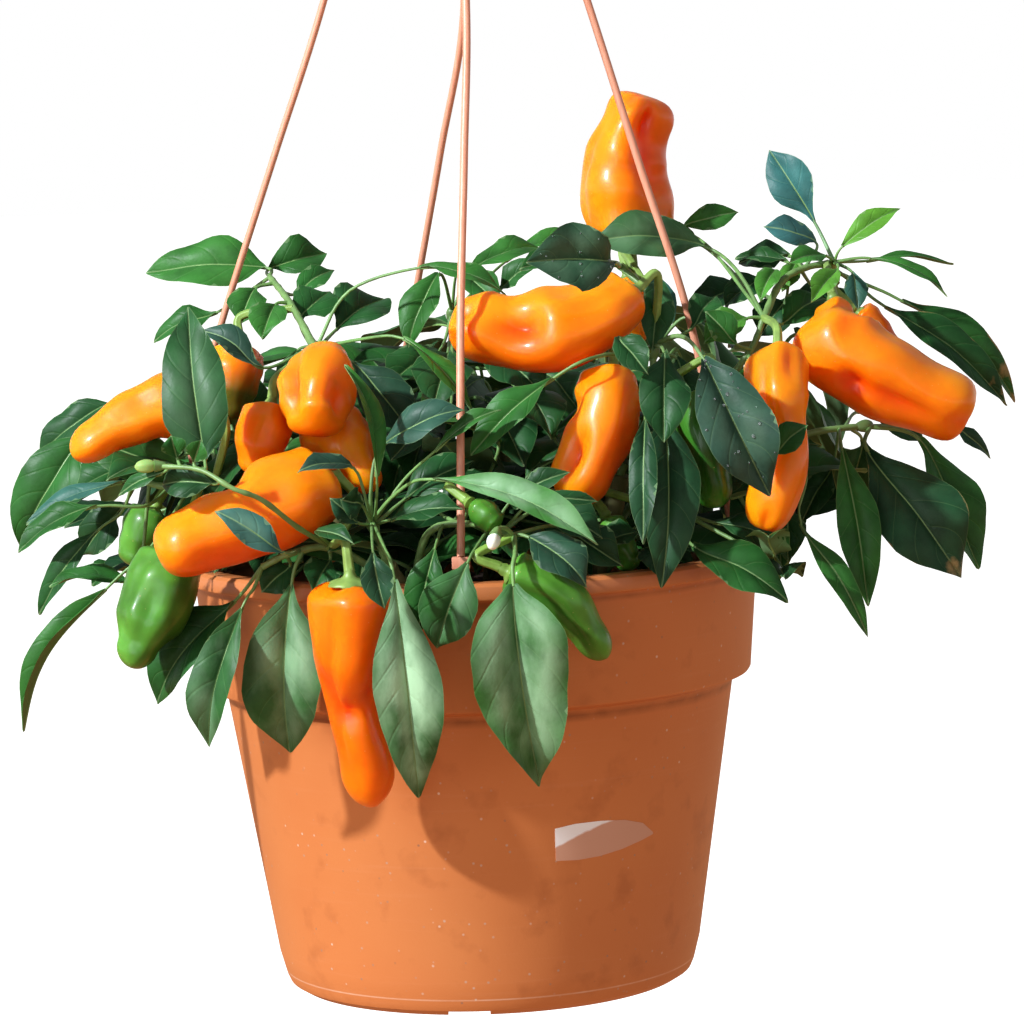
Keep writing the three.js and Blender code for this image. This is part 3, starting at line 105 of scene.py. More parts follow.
# The pot
# Injection moulded from terracotta-coloured polypropylene in one shot: a stepped collar with
# a rolled lip for stacking, a tapered body and a foot ring with a drainage notch.
POT_SIDES = 160
POT_WALL = 2.6
POT_PROFILE = [
    (79, -180.2), (79.6, -183.2), (86, -183.2), (90.2, -180.6), (91.6, -177.5), (94.4, -167),
    (112.6, -52.5), (114.2, -49.6), (120.2, -47.5), (121, -46.2), (125, -0.4), (126.2, 0.5),
    (129.6, 0.8), (129.9, 1.6), (129.4, 6.4), (127.6, 7.8), (119.8, 7.8), (119.4, 6.8),
    (118, -45.6), (110, -53.5), (91.8, -167), (85, -177.6),
]
BODY_ENDS = POT_PROFILE[5], POT_PROFILE[6]
DRAINS = {"radius": 4.5, "ring": 58, "count": 4, "first": 30, "level": -178.9, "through": 12}
NOTCH = {"across": -10, "front": -86, "level": -183.2, "size": (18, 24, 4.4)}
LUG = {"ring": 115.5, "level": -3.5, "width": 14, "depth": 7, "height": 7}
SLOT = {"width": 6, "depth": 2.4}
EDGE_ANGLE = math.radians(30)
STRAND_TURNS = {"front": -3, "right": 78, "back": 203, "left": 260}


def alone(piece):
    bpy.ops.object.select_all(action="DESELECT")
    piece.select_set(True)
    bpy.context.view_layer.objects.active = piece


def at_pot(across, depth, level):
    return (across * MM, depth * MM, (level + POT_LEVEL) * MM)


def draw_out(name, profile, sides):
    """A circle is drawn out ring by ring along the profile, and both ends are closed."""
    bpy.ops.object.select_all(action="DESELECT")
    radius, level = profile[0]
    bpy.ops.mesh.primitive_circle_add(
        vertices=sides, radius=radius * MM, location=at_pot(0, 0, level)
    )
    shell = bpy.context.object
    shell.name = shell.data.name = name
    bpy.ops.object.mode_set(mode="EDIT")
    bpy.ops.mesh.select_all(action="SELECT")
    for wider, higher in profile[1:]:
        rise = {"value": (0, 0, (higher - level) * MM)}
        bpy.ops.mesh.extrude_edges_move(TRANSFORM_OT_translate=rise)
        share = wider / radius
        bpy.ops.transform.resize(value=(share, share, 1))
        radius, level = wider, higher
    bpy.ops.mesh.select_all(action="SELECT")
    bpy.ops.mesh.fill_holes(sides=0)
    bpy.ops.mesh.normals_make_consistent(inside=False)
    bpy.ops.object.mode_set(mode="OBJECT")
    bpy.ops.object.transform_apply()
    return shell


def around(turn, radius, level):
    """A place on the pot's rim: degrees from the front towards the right, then outwards."""
    angle = math.radians(turn)
    return (radius * math.sin(angle), -radius * math.cos(angle), level)


def block(size, place, turn=0.0):
    bpy.ops.object.select_all(action="DESELECT")
    bpy.ops.mesh.primitive_cube_add(
        size=1, location=at_pot(*place), rotation=(0, 0, math.radians(turn))
    )
    made = bpy.context.object
    made.scale = [length * MM for length in size]
    bpy.ops.object.transform_apply()
    return made


def modify(piece, kind, **settings):
    """A modifier with its settings, applied at once."""
    modifier = piece.modifiers.new("change", kind)
    for key, value in settings.items():
        setattr(modifier, key, value)
    alone(piece)
    bpy.ops.object.modifier_apply(modifier="change")


def combine(piece, tool, operation):
    modify(piece, "BOOLEAN", operation=operation, object=tool, solver="EXACT")
    bpy.data.objects.remove(tool)


def round_edges(piece, width):
    limit = {"limit_method": "ANGLE", "angle_limit": EDGE_ANGLE}
    modify(piece, "BEVEL", width=width * MM, segments=2, **limit)
    bpy.ops.object.shade_smooth_by_angle(angle=EDGE_ANGLE)


def wear_only(piece, finish):
    piece.data.materials.clear()
    piece.data.materials.append(finish)


def add_to(piece, other):
    alone(piece)
    other.select_set(True)
    bpy.ops.object.join()


pot = draw_out("pot_shell", POT_PROFILE, POT_SIDES)
for turn in STRAND_TURNS.values():
    lug_size = (LUG["width"], LUG["depth"], LUG["height"])
    combine(pot, block(lug_size, around(turn, LUG["ring"] + 1, LUG["level"]), turn), "UNION")
    slot_size = (SLOT["width"], SLOT["depth"], LUG["height"] + 2)
    combine(pot, block(slot_size, around(turn, LUG["ring"], LUG["level"]), turn), "DIFFERENCE")
notch_place = (NOTCH["across"], NOTCH["front"], NOTCH["level"])
combine(pot, block(NOTCH["size"], notch_place), "DIFFERENCE")
for number in range(DRAINS["count"]):
    turn = DRAINS["first"] + 360 / DRAINS["count"] * number
    bpy.ops.object.select_all(action="DESELECT")
    bpy.ops.mesh.primitive_cylinder_add(
        vertices=32,
        radius=DRAINS["radius"] * MM,
        depth=DRAINS["through"] * MM,
        location=at_pot(*around(turn, DRAINS["ring"], DRAINS["level"])),
    )
    combine(pot, bpy.context.object, "DIFFERENCE")
round_edges(pot, 0.5)


def paint(hue):
    """An sRGB hex colour as Blender's linear values."""
    channels = [int(hue[i : i + 2], 16) / 255 for i in (1, 3, 5)]
    linear = [c / 12.92 if c <= 0.04045 else ((c + 0.055) / 1.055) ** 2.4 for c in channels]
    return (*linear, 1.0)


def add_node(tree, kind, sockets=None, out=0, **settings):
    """Adds a node and gives back one of its outputs. A socket takes a value, or a link where
    an output is given. Mix has its share in socket 0 and its two colours in 6 and 7, and
    MapRange takes the range from 1 to 2 onto the one from 3 to 4."""
    node = tree.nodes.new("ShaderNode" + kind)
    for key, value in settings.items():
        setattr(node, key, value)
    for key, value in (sockets or {}).items():
        if isinstance(value, bpy.types.NodeSocket):
            tree.links.new(value, node.inputs[key])
        else:
            node.inputs[key].default_value = value
    return node.outputs[out]


def new_finish(name, **surface):
    """A material whose shader starts from typical values for what the surface is."""
    material = bpy.data.materials.new(name)
    material.use_nodes = True
    tree = material.node_tree
    shader = tree.nodes["Principled BSDF"]
    for key, value in surface.items():
        shader.inputs[key.replace("_", " ")].default_value = value
    return material, tree, shader


def wire(tree, shader, colour, relief=None):
    tree.links.new(colour, shader.inputs["Base Color"])
    if relief is not None:
        tree.links.new(relief, shader.inputs["Normal"])


# Polypropylene with a fine moulded texture: a broad soft gloss, a colour that has bleached
# unevenly, fine scratches round the pot, specks of lime and soil, faint stains, dark lines of
# painted shade and dirt in the corners below the lip and the collar, and a scuffed edge above
# the foot.
# The first line, under the collar's step, and the second, under the lip, are painted shade with
# some dirt; the third is a pale scuff.
HEIGHT_LINES = [
    dict(level=-52.2, reach=3.2, strength=0.75, hue="#74380f"),
    dict(level=-1.8, reach=2.0, strength=0.55, hue="#7a3c18"),
    dict(level=-175.6, reach=0.5, strength=0.6, hue="#f2ccb2"),
]
plastic, tree, shader = new_finish(
    "moulded_polypropylene", Roughness=0.48, IOR=1.49, Coat_Weight=0.35, Coat_Roughness=0.4
)
place = add_node(tree, "TexCoord", out="Object")
bleach = add_node(tree, "TexNoise", {"Vector": place, "Scale": 1 / 0.07, "Detail": 3.0})
pale_and_deep = {6: paint("#c36c36"), 7: paint("#d18249")}
shown = add_node(tree, "Mix", {0: bleach, **pale_and_deep}, 2, data_type="RGBA")
ring_place = add_node(tree, "Mapping", {"Vector": place, "Scale": (18, 18, 420)})
scratches = add_node(tree, "TexNoise", {"Vector": ring_place, "Scale": 1.0, "Detail": 4.0})
scratches = add_node(tree, "MapRange", {"Value": scratches, 1: 0.58, 2: 0.8, 3: 0.0, 4: 0.12})
cells = add_node(tree, "TexVoronoi", {"Vector": place, "Scale": 1 / 0.0048, "Randomness": 1.0})
dirt_and_lime = {6: paint("#6b3a20"), 7: paint("#f0d9c6")}
chance_colour = cells.node.outputs["Color"]
speck_hue = add_node(tree, "Mix", {0: chance_colour, **dirt_and_lime}, 2, data_type="RGBA")
specks = add_node(tree, "MapRange", {"Value": cells, 1: 0.07, 2: 0.15, 3: 1.0, 4: 0.0})
few = add_node(tree, "TexNoise", {"Vector": place, "Scale": 1 / 0.03, "Detail": 1.0})
few = add_node(tree, "MapRange", {"Value": few, 1: 0.42, 2: 0.6, 3: 0.0, 4: 0.75})
specks = add_node(tree, "Math", {0: specks, 1: few}, operation="MULTIPLY")
stains = add_node(tree, "TexNoise", {"Vector": place, "Scale": 1 / 0.017, "Detail": 8.0})
stains = add_node(tree, "MapRange", {"Value": stains, 1: 0.57, 2: 0.74, 3: 0.0, 4: 0.3})
layers = [(scratches, paint("#dfa07a")), (specks, speck_hue), (stains, paint("#8f4218"))]
height_at = add_node(tree, "SeparateXYZ", {0: place}, "Z")
patchy = add_node(tree, "TexNoise", {"Vector": place, "Scale": 1 / 0.012, "Detail": 5.0})
patchy = add_node(tree, "MapRange", {"Value": patchy, 1: 0.36, 2: 0.62, 3: 0.5, 4: 1.0})
# Each line darkens or pales a band at its height; the dark bands are painted shade with dirt.
for line in HEIGHT_LINES:
    level = (line["level"] + POT_LEVEL) * MM
    off = add_node(tree, "Math", {0: height_at, 1: level}, operation="SUBTRACT")
    off = add_node(tree, "Math", {0: off}, operation="ABSOLUTE")
    near = {"Value": off, 1: 0.0, 2: line["reach"] * MM, 3: line["strength"], 4: 0.0}
    near = add_node(tree, "MapRange", near)
    near = add_node(tree, "Math", {0: near, 1: patchy}, operation="MULTIPLY")
    layers.append((near, paint(line["hue"])))
for share, hue in layers:
    shown = add_node(tree, "Mix", {0: share, 6: shown, 7: hue}, 2, data_type="RGBA")
grain = add_node(tree, "TexNoise", {"Vector": place, "Scale": 1 / 0.0012, "Detail": 2.0})
relief = add_node(tree, "Bump", {"Strength": 0.12, "Distance": 0.0004, "Height": grain})
wire(tree, shader, shown, relief)
wear_only(pot, plastic)
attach(pot, "root")
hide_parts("pot")

# The worn patch
# Chalky remains on the pot's front, where the surface has been rubbed: a thin pale film with
# a whiter corner.
PATCH_TOP = [(555, 829), (575, 824), (600, 821), (625, 820), (643, 823), (653, 832)]
PATCH_FOOT = [(556, 861), (578, 860), (600, 856), (622, 849), (642, 840), (653, 834)]
PATCH_STEPS = (40, 12)
FILM = {"lift": 0.12, "thickness": 0.25, "smooth": math.radians(40)}
WHITE_CORNER = {"start": 0.58, "fall": 1.15}


def on_pot_wall(across, down):
    """The place on the body's outside that shows at a point of the picture."""
    (low_radius, low), (high_radius, high) = BODY_ENDS
    near, far = 130.0, 40.0
    for _ in range(40):
        middle = (near + far) / 2
        spot = at(across, down, middle)
        share = (spot[2] - low) / (high - low)
        wall = low_radius + (high_radius - low_radius) * share + FILM["lift"]
        near, far = (middle, far) if math.hypot(spot[0], spot[1]) > wall else (near, middle)
    return spot


film, tree, shader = new_finish("chalky_film", Roughness=0.7)
place = add_node(tree, "TexCoord", out="Object")
wear = add_node(tree, "TexNoise", {"Vector": place, "Scale": 1 / 0.006, "Detail": 4.0})
wear = add_node(tree, "Math", {0: wear, 1: 0.12}, operation="MULTIPLY")
whiteness = add_node(tree, "Attribute", out="Fac", attribute_name="whiteness")
wear = add_node(tree, "Math", {0: wear, 1: whiteness}, operation="ADD")
wear = add_node(tree, "MapRange", {"Value": wear, 1: 0.04, 2: 0.1})
rubbed_and_chalk = {6: paint("#cf9c82"), 7: paint("#f6f4f4")}
shown = add_node(tree, "Mix", {0: wear, **rubbed_and_chalk}, 2, data_type="RGBA")
wire(tree, shader, shown)

columns, rows = PATCH_STEPS
spots, whiteness = [], []
for column in range(columns + 1):
    where = column / columns * (len(PATCH_TOP) - 1)
    index = min(int(where), len(PATCH_TOP) - 2)
    ends = [
        np.array(edge[index]) * (index + 1 - where) + np.array(edge[index + 1]) * (where - index)
        for edge in (PATCH_TOP, PATCH_FOOT)
    ]
    for row in range(rows + 1):
        down = row / rows
        spots.append(on_pot_wall(*(ends[0] * (1 - down) + ends[1] * down)))
        whiteness.append(WHITE_CORNER["start"] - WHITE_CORNER["fall"] * column / columns - down)
faces = []
for column in range(columns):
    for row in range(rows):
        corner = column * (rows + 1) + row
        faces.append((corner, corner + 1, corner + rows + 2, corner + rows + 1))
mesh = bpy.data.meshes.new("worn_patch")
mesh.from_pydata(in_metres(spots).tolist(), [], faces)
mesh.attributes.new("whiteness", "FLOAT", "POINT").data.foreach_set("value", whiteness)
mesh.materials.append(film)
patch = place_object("worn_patch", mesh)
modify(patch, "SOLIDIFY", thickness=FILM["thickness"] * MM)
bpy.ops.object.shade_smooth_by_angle(angle=FILM["smooth"])
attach(patch, "root")

# The hanger
# Four slim legs and a hook, moulded in a paler, pinkish polypropylene. Each leg is held in the
# hook's boss above, and its clip block and barbed tongue press down through a lug of the pot.
JOIN_LEVEL = 429.0
BEARING_LEVEL = 484.0
SOCKET = {"ring": 5.6, "depth": 5.0}
ARCH_RADIUS = 13.0
ROD_RADIUS = 3.0
LEG_RADIUS = 1.6
CLIP = {"level": 15.5, "width": 7.6, "depth": 4.0, "height": 5.0}
TONGUE = {"width": 5.4, "thickness": 1.8}
BARB = {"width": 8.4, "height": 3.0}
BOSS_PROFILE = [(8.5, 0), (9.5, 1), (9.3, 4), (8.7, 7), (5.6, 12), (4, 14)]
LEG_LINES = {
    "front": [(466, 0, 50), (464, 160, 68), (460.5, 330, 89)],
    "right": [(587, 0, 10), (638, 160, 14), (691, 325, 19)],
    "back": [(464, 0, -46), (440, 155, -64), (411, 320, -83)],
    "left": [(324, 0, -9), (273, 160, -12), (221, 325, -16), (190, 442, -18)],
}


def on_line(points, where):
    """A smooth line through points: a Catmull-Rom spline, read from 0 to the last point."""
    last = len(points) - 1
    i = min(max(math.floor(where), 0), last - 1)
    t = where - i
    b, c = points[i], points[i + 1]
    a = points[i - 1] if i > 0 else b * 2 - c
    d = points[i + 2] if i + 2 <= last else c * 2 - b
    return (
        a * (-0.5 * t**3 + t**2 - 0.5 * t)
        + b * (1.5 * t**3 - 2.5 * t**2 + 1)
        + c * (-1.5 * t**3 + 2 * t**2 + 0.5 * t)
        + d * (0.5 * t**3 - 0.5 * t**2)
    )


def heading(points, where):
    last = len(points) - 1
    return unit(on_line(points, min(where + 0.02, last)) - on_line(points, max(where - 0.02, 0)))


class Heap:
    """Points and faces of one piece, gathered before they become its mesh."""

    def __init__(self):
        self.points = []
        self.faces = []
        self.looks = []
        self.runs = []

    def skin(self, start, rings, end, look=0, **fields):
        """A closed skin over rings of points; a field gives each of its points a value."""
        first = len(self.points)
        count = len(rings[0])
        self.points += [start, *(point for ring in rings for point in ring), end]
        last = len(self.points) - 1
        corners = [first + 1 + number * count for number in range(len(rings))]
        for i in range(count):
            j = (i + 1) % count
            side_look = look(i) if callable(look) else look
            self.faces.append((first, corners[0] + j, corners[0] + i))
            self.faces.append((last, corners[-1] + i, corners[-1] + j))
            for low, high in zip(corners, corners[1:]):
                self.faces.append((low + i, low + j, high + j, high + i))
            self.looks += [side_look] * (len(rings) + 1)
        self.runs.append((first, last + 1, fields))

    def sweep(self, line, radius, sides, steps, look=0, flat=1.0, ridges=0.0, **fields):
        """A bar along a smooth line; its radius is read at shares of the line's length."""
        across = np.array((0.31, 0.17, 0.93))
        angles = np.arange(sides) / sides * 2 * math.pi
        ridged = (1 + ridges * np.cos(5 * angles))[:, None]
        rings = []
        for step in range(steps + 1):
            where = step / steps * (len(line) - 1)
            way = heading(line, where)
            across = across - way * np.dot(across, way)
            if np.linalg.norm(across) < 1e-3:
                across = np.cross(way, (way[2], way[0], way[1]))
            across = unit(across)
            along = np.cross(way, across)
            spread = np.outer(np.cos(angles), across) + flat * np.outer(np.sin(angles), along)
            rings.append(on_line(line, where) + radius(step / steps) * ridged * spread)
        self.skin(rings[0].mean(axis=0), rings, rings[-1].mean(axis=0), look, **fields)

    def piece(self, name, finishes, slot=None, nodes=(), sharp=40.0):
        """The finished piece, with its place in its mesh, standing for its CAD nodes."""
        mesh = bpy.data.meshes.new(name)
        mesh.from_pydata(in_metres(self.points).tolist(), [], self.faces)
        for finish in finishes:
            mesh.materials.append(finish)
        mesh.polygons.foreach_set("material_index", self.looks)
        mesh.polygons.foreach_set("use_smooth", [True] * len(self.faces))
        for field in sorted({name for _, _, fields in self.runs for name in fields}):
            wide = field == "tint"
            values = np.zeros((len(self.points), 4 if wide else 1), np.float32)
            for first, end, fields in self.runs:
                given = np.asarray(fields.get(field, 0.0), np.float32)
                values[first:end] = given if wide or given.ndim == 0 else given[:, None]
            layer = mesh.attributes.new(field, "FLOAT_COLOR" if wide else "FLOAT", "POINT")
            layer.data.foreach_set("color" if wide else "value", values.ravel())
        mesh.set_sharp_from_angle(angle=math.radians(sharp))
        made = place_object(name, mesh)
        if slot:
            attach(made, "root")
        if nodes:
            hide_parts(*nodes)
        return made


def leg_line(side):
    turn = STRAND_TURNS[side]
    line = [at(*point) for point in LEG_LINES[side]]
    join = np.array(around(turn, SOCKET["ring"], JOIN_LEVEL))
    top = join - unit(line[0] - join) * SOCKET["depth"]
    foot = np.array(around(turn, LUG["ring"], CLIP["level"] + CLIP["height"] / 2))
    return [top, top + (line[0] - top) * 0.5, *line, foot]


# The smooth side of the same plastic: a clean gloss with a faint streak along the flow
leg_plastic, tree, shader = new_finish("smooth_polypropylene", Roughness=0.4, IOR=1.49)
place = add_node(tree, "TexCoord", out="Object")
flow_place = add_node(tree, "Mapping", {"Vector": place, "Scale": (900, 900, 30)})
flow = add_node(tree, "TexNoise", {"Vector": flow_place, "Scale": 1.0, "Detail": 3.0})
dull_and_clear = {6: paint("#cf7f5f"), 7: paint("#e9a98c")}
shown = add_node(tree, "Mix", {0: flow, **dull_and_clear}, 2, data_type="RGBA")
relief = add_node(tree, "Bump", {"Strength": 0.1, "Distance": 0.0003, "Height": flow})
wire(tree, shader, shown, relief)

barb_top = -LUG["height"] - 0.3
barb_foot = barb_top - BARB["height"] / 2
tongue = (TONGUE["width"], TONGUE["thickness"], CLIP["level"] - barb_top + 1)
for side, turn in STRAND_TURNS.items():
    heap = Heap()
    heap.sweep(leg_line(side), lambda share: LEG_RADIUS * 1.08, 14, 60, flat=0.9)
    leg = heap.piece(f"hanger_leg_{side}", [leg_plastic], "hanger", [f"strand_{side}"])
    for size, level in (
        ((CLIP["width"], CLIP["depth"], CLIP["height"]), CLIP["level"]),
        (tongue, (CLIP["level"] + barb_top - 1) / 2),
        ((BARB["width"], TONGUE["thickness"], BARB["height"]), barb_foot),
    ):
        shape = block(size, around(turn, LUG["ring"], level), turn)
        round_edges(shape, 0.35)
        shape.data.materials.append(leg_plastic)
        add_to(leg, shape)

arch_level = BEARING_LEVEL + ROD_RADIUS - ARCH_RADIUS
hook_line = [
    np.array((0.0, 0.0, JOIN_LEVEL + 10)),
    np.array((0.5, 0.0, JOIN_LEVEL + 17)),
    np.array((ARCH_RADIUS * 0.75, 0.0, BEARING_LEVEL + ROD_RADIUS - ARCH_RADIUS * 1.85)),
]
for step in range(9):
    angle = math.radians(22.5 * step)
    rise = BEARING_LEVEL + ROD_RADIUS - ARCH_RADIUS * (1 - math.sin(angle))
    hook_line.append(np.array((ARCH_RADIUS * math.cos(angle), 0.0, rise)))
hook_line.append(np.array((-ARCH_RADIUS - 3.5, 0.0, arch_level - 7)))


def rod_radius(share):
    """The hook's round rod, which ends in a rounded tip."""
    past = max((share - 0.97) / 0.031, 0.0)
    return ROD_RADIUS * (math.sqrt(max(1 - past**2, 0.05)) if past else 1.0)


heap = Heap()
heap.sweep(hook_line, rod_radius, 20, 110)
hook = heap.piece("hanger_hook", [leg_plastic], "hanger", ["hook"])
boss = draw_out("boss", [(radius, JOIN_LEVEL + above) for radius, above in BOSS_PROFILE], 48)
for side in STRAND_TURNS:
    line = leg_line(side)
    way = unit(line[1] - line[0])
    socket = Heap()
    ends = [line[0] - way * 0.3, line[0] + way * (SOCKET["depth"] + 12)]
    socket.sweep(ends, lambda share: LEG_RADIUS + 0.3, 16, 1)
    combine(boss, socket.piece("socket", []), "DIFFERENCE")
round_edges(boss, 0.3)
wear_only(boss, leg_plastic)
add_to(hook, boss)

# The soil
# Damp peat with bark and a little white perlite, filled in round the roots and settled in a
# low mound below the rim.
SOIL_TOP = -15.0
SOIL_MOUND = 5.0
SOIL_GAP = 0.9
MOUND_RINGS = 24
CLODS = {"size": 7, "height": 5, "depth": 3}
soil_inner = POT_PROFILE[9][0] - POT_WALL - SOIL_GAP
soil_edge = soil_inner + SOIL_GAP
soil_profile = [
    (82, -177.3), (90.9, -167), (BODY_ENDS[1][0] - POT_WALL - SOIL_GAP, -52.9),
    (soil_inner - 0.4, -45.2), (soil_edge, SOIL_TOP),
]
for step in range(1, MOUND_RINGS):
    share = 1 - step / MOUND_RINGS
    soil_profile.append((soil_edge * share + 0.4, SOIL_TOP + SOIL_MOUND * (1 - share**2)))
soil = draw_out("potting_soil", soil_profile, 120)
rough_soil = bpy.data.textures.new("clods", "CLOUDS")
rough_soil.noise_scale = CLODS["size"] * MM
rough_soil.noise_depth = CLODS["depth"]
top_of_soil = soil.vertex_groups.new(name="top")
for vertex in soil.data.vertices:
    height = vertex.co.z / MM - POT_LEVEL
    reach = math.hypot(vertex.co.x, vertex.co.y) / MM
    if height > SOIL_TOP - 1 and reach < soil_inner - 2:
        top_of_soil.add([vertex.index], 1.0, "REPLACE")
lift = {"strength": CLODS["height"] * MM, "mid_level": 0.6, "direction": "Z"}
modify(soil, "DISPLACE", texture=rough_soil, **lift, vertex_group="top")
bpy.ops.object.shade_smooth_by_angle(angle=math.radians(60))

peat, tree, shader = new_finish("damp_potting_soil", Roughness=0.85)
place = add_node(tree, "TexCoord", out="Object")
crumbs = add_node(tree, "TexVoronoi", {"Vector": place, "Scale": 1 / 0.0028})
fibres = add_node(tree, "TexNoise", {"Vector": place, "Scale": 1 / 0.004, "Detail": 5.0})
dark_and_dry = {6: paint("#1c130d"), 7: paint("#4a3526")}
shown = add_node(tree, "Mix", {0: fibres, **dark_and_dry}, 2, data_type="RGBA")
perlite = {"Value": crumbs.node.outputs["Color"], 1: 0.93, 2: 0.95, 3: 0.0, 4: 0.8}
perlite = add_node(tree, "MapRange", perlite)
perlite_over = {0: perlite, 6: shown, 7: paint("#b9b0a2")}
shown = add_node(tree, "Mix", perlite_over, 2, data_type="RGBA")
relief = add_node(tree, "Bump", {"Strength": 0.8, "Distance": 0.002, "Height": crumbs})
wire(tree, shader, shown, relief)
wear_only(soil, peat)
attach(soil, "root")
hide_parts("soil")

# The trunks
# Woody bases of four young plants that share the pot, rooted in the soil. They are ridged
# and go from green to cork brown.
TRUNKS = {
    "left": ([(-46, 22, -70), (-48, 25, -14), (-57, 38, 18), (-63, 46, 44)], (6, 4)),
    "front": ([(-20, 70, -70), (-24, 76, -14), (-31, 88, 0), (-37, 96, 13)], (5, 3.6)),
    "right": ([(48, 34, -70), (50, 36, -14), (58, 44, 18), (64, 50, 44)], (6, 4)),
    "back": ([(6, -40, -70), (8, -44, -14), (12, -48, 24), (14, -50, 62)], (6, 4)),
}
trunk_lines = {
    name: [np.array((across, -depth, level), float) for across, depth, level in line]
    for name, (line, _) in TRUNKS.items()
}

bark, tree, shader = new_finish("woody_stem", Roughness=0.7)
place = add_node(tree, "TexCoord", out="Object")
bark_place = add_node(tree, "Mapping", {"Vector": place, "Scale": (420, 420, 70)})
cork = add_node(tree, "TexNoise", {"Vector": bark_place, "Scale": 1.0, "Detail": 4.0})
green_and_cork = {6: paint("#5a6a33"), 7: paint("#8d8054")}
shown = add_node(tree, "Mix", {0: cork, **green_and_cork}, 2, data_type="RGBA")
relief = add_node(tree, "Bump", {"Strength": 0.5, "Distance": 0.0008, "Height": cork})
wire(tree, shader, shown, relief)

for name, (_, (thick, slim)) in TRUNKS.items():
    heap = Heap()
    heap.sweep(
        trunk_lines[name],
        lambda share: thick + (slim - thick) * share + 0.25 * math.sin(share * 40) * share,
        16,
        48,
    )
    heap.piece(f"stem_base_{name}", [bark], "wood", [f"trunk_{name}"])
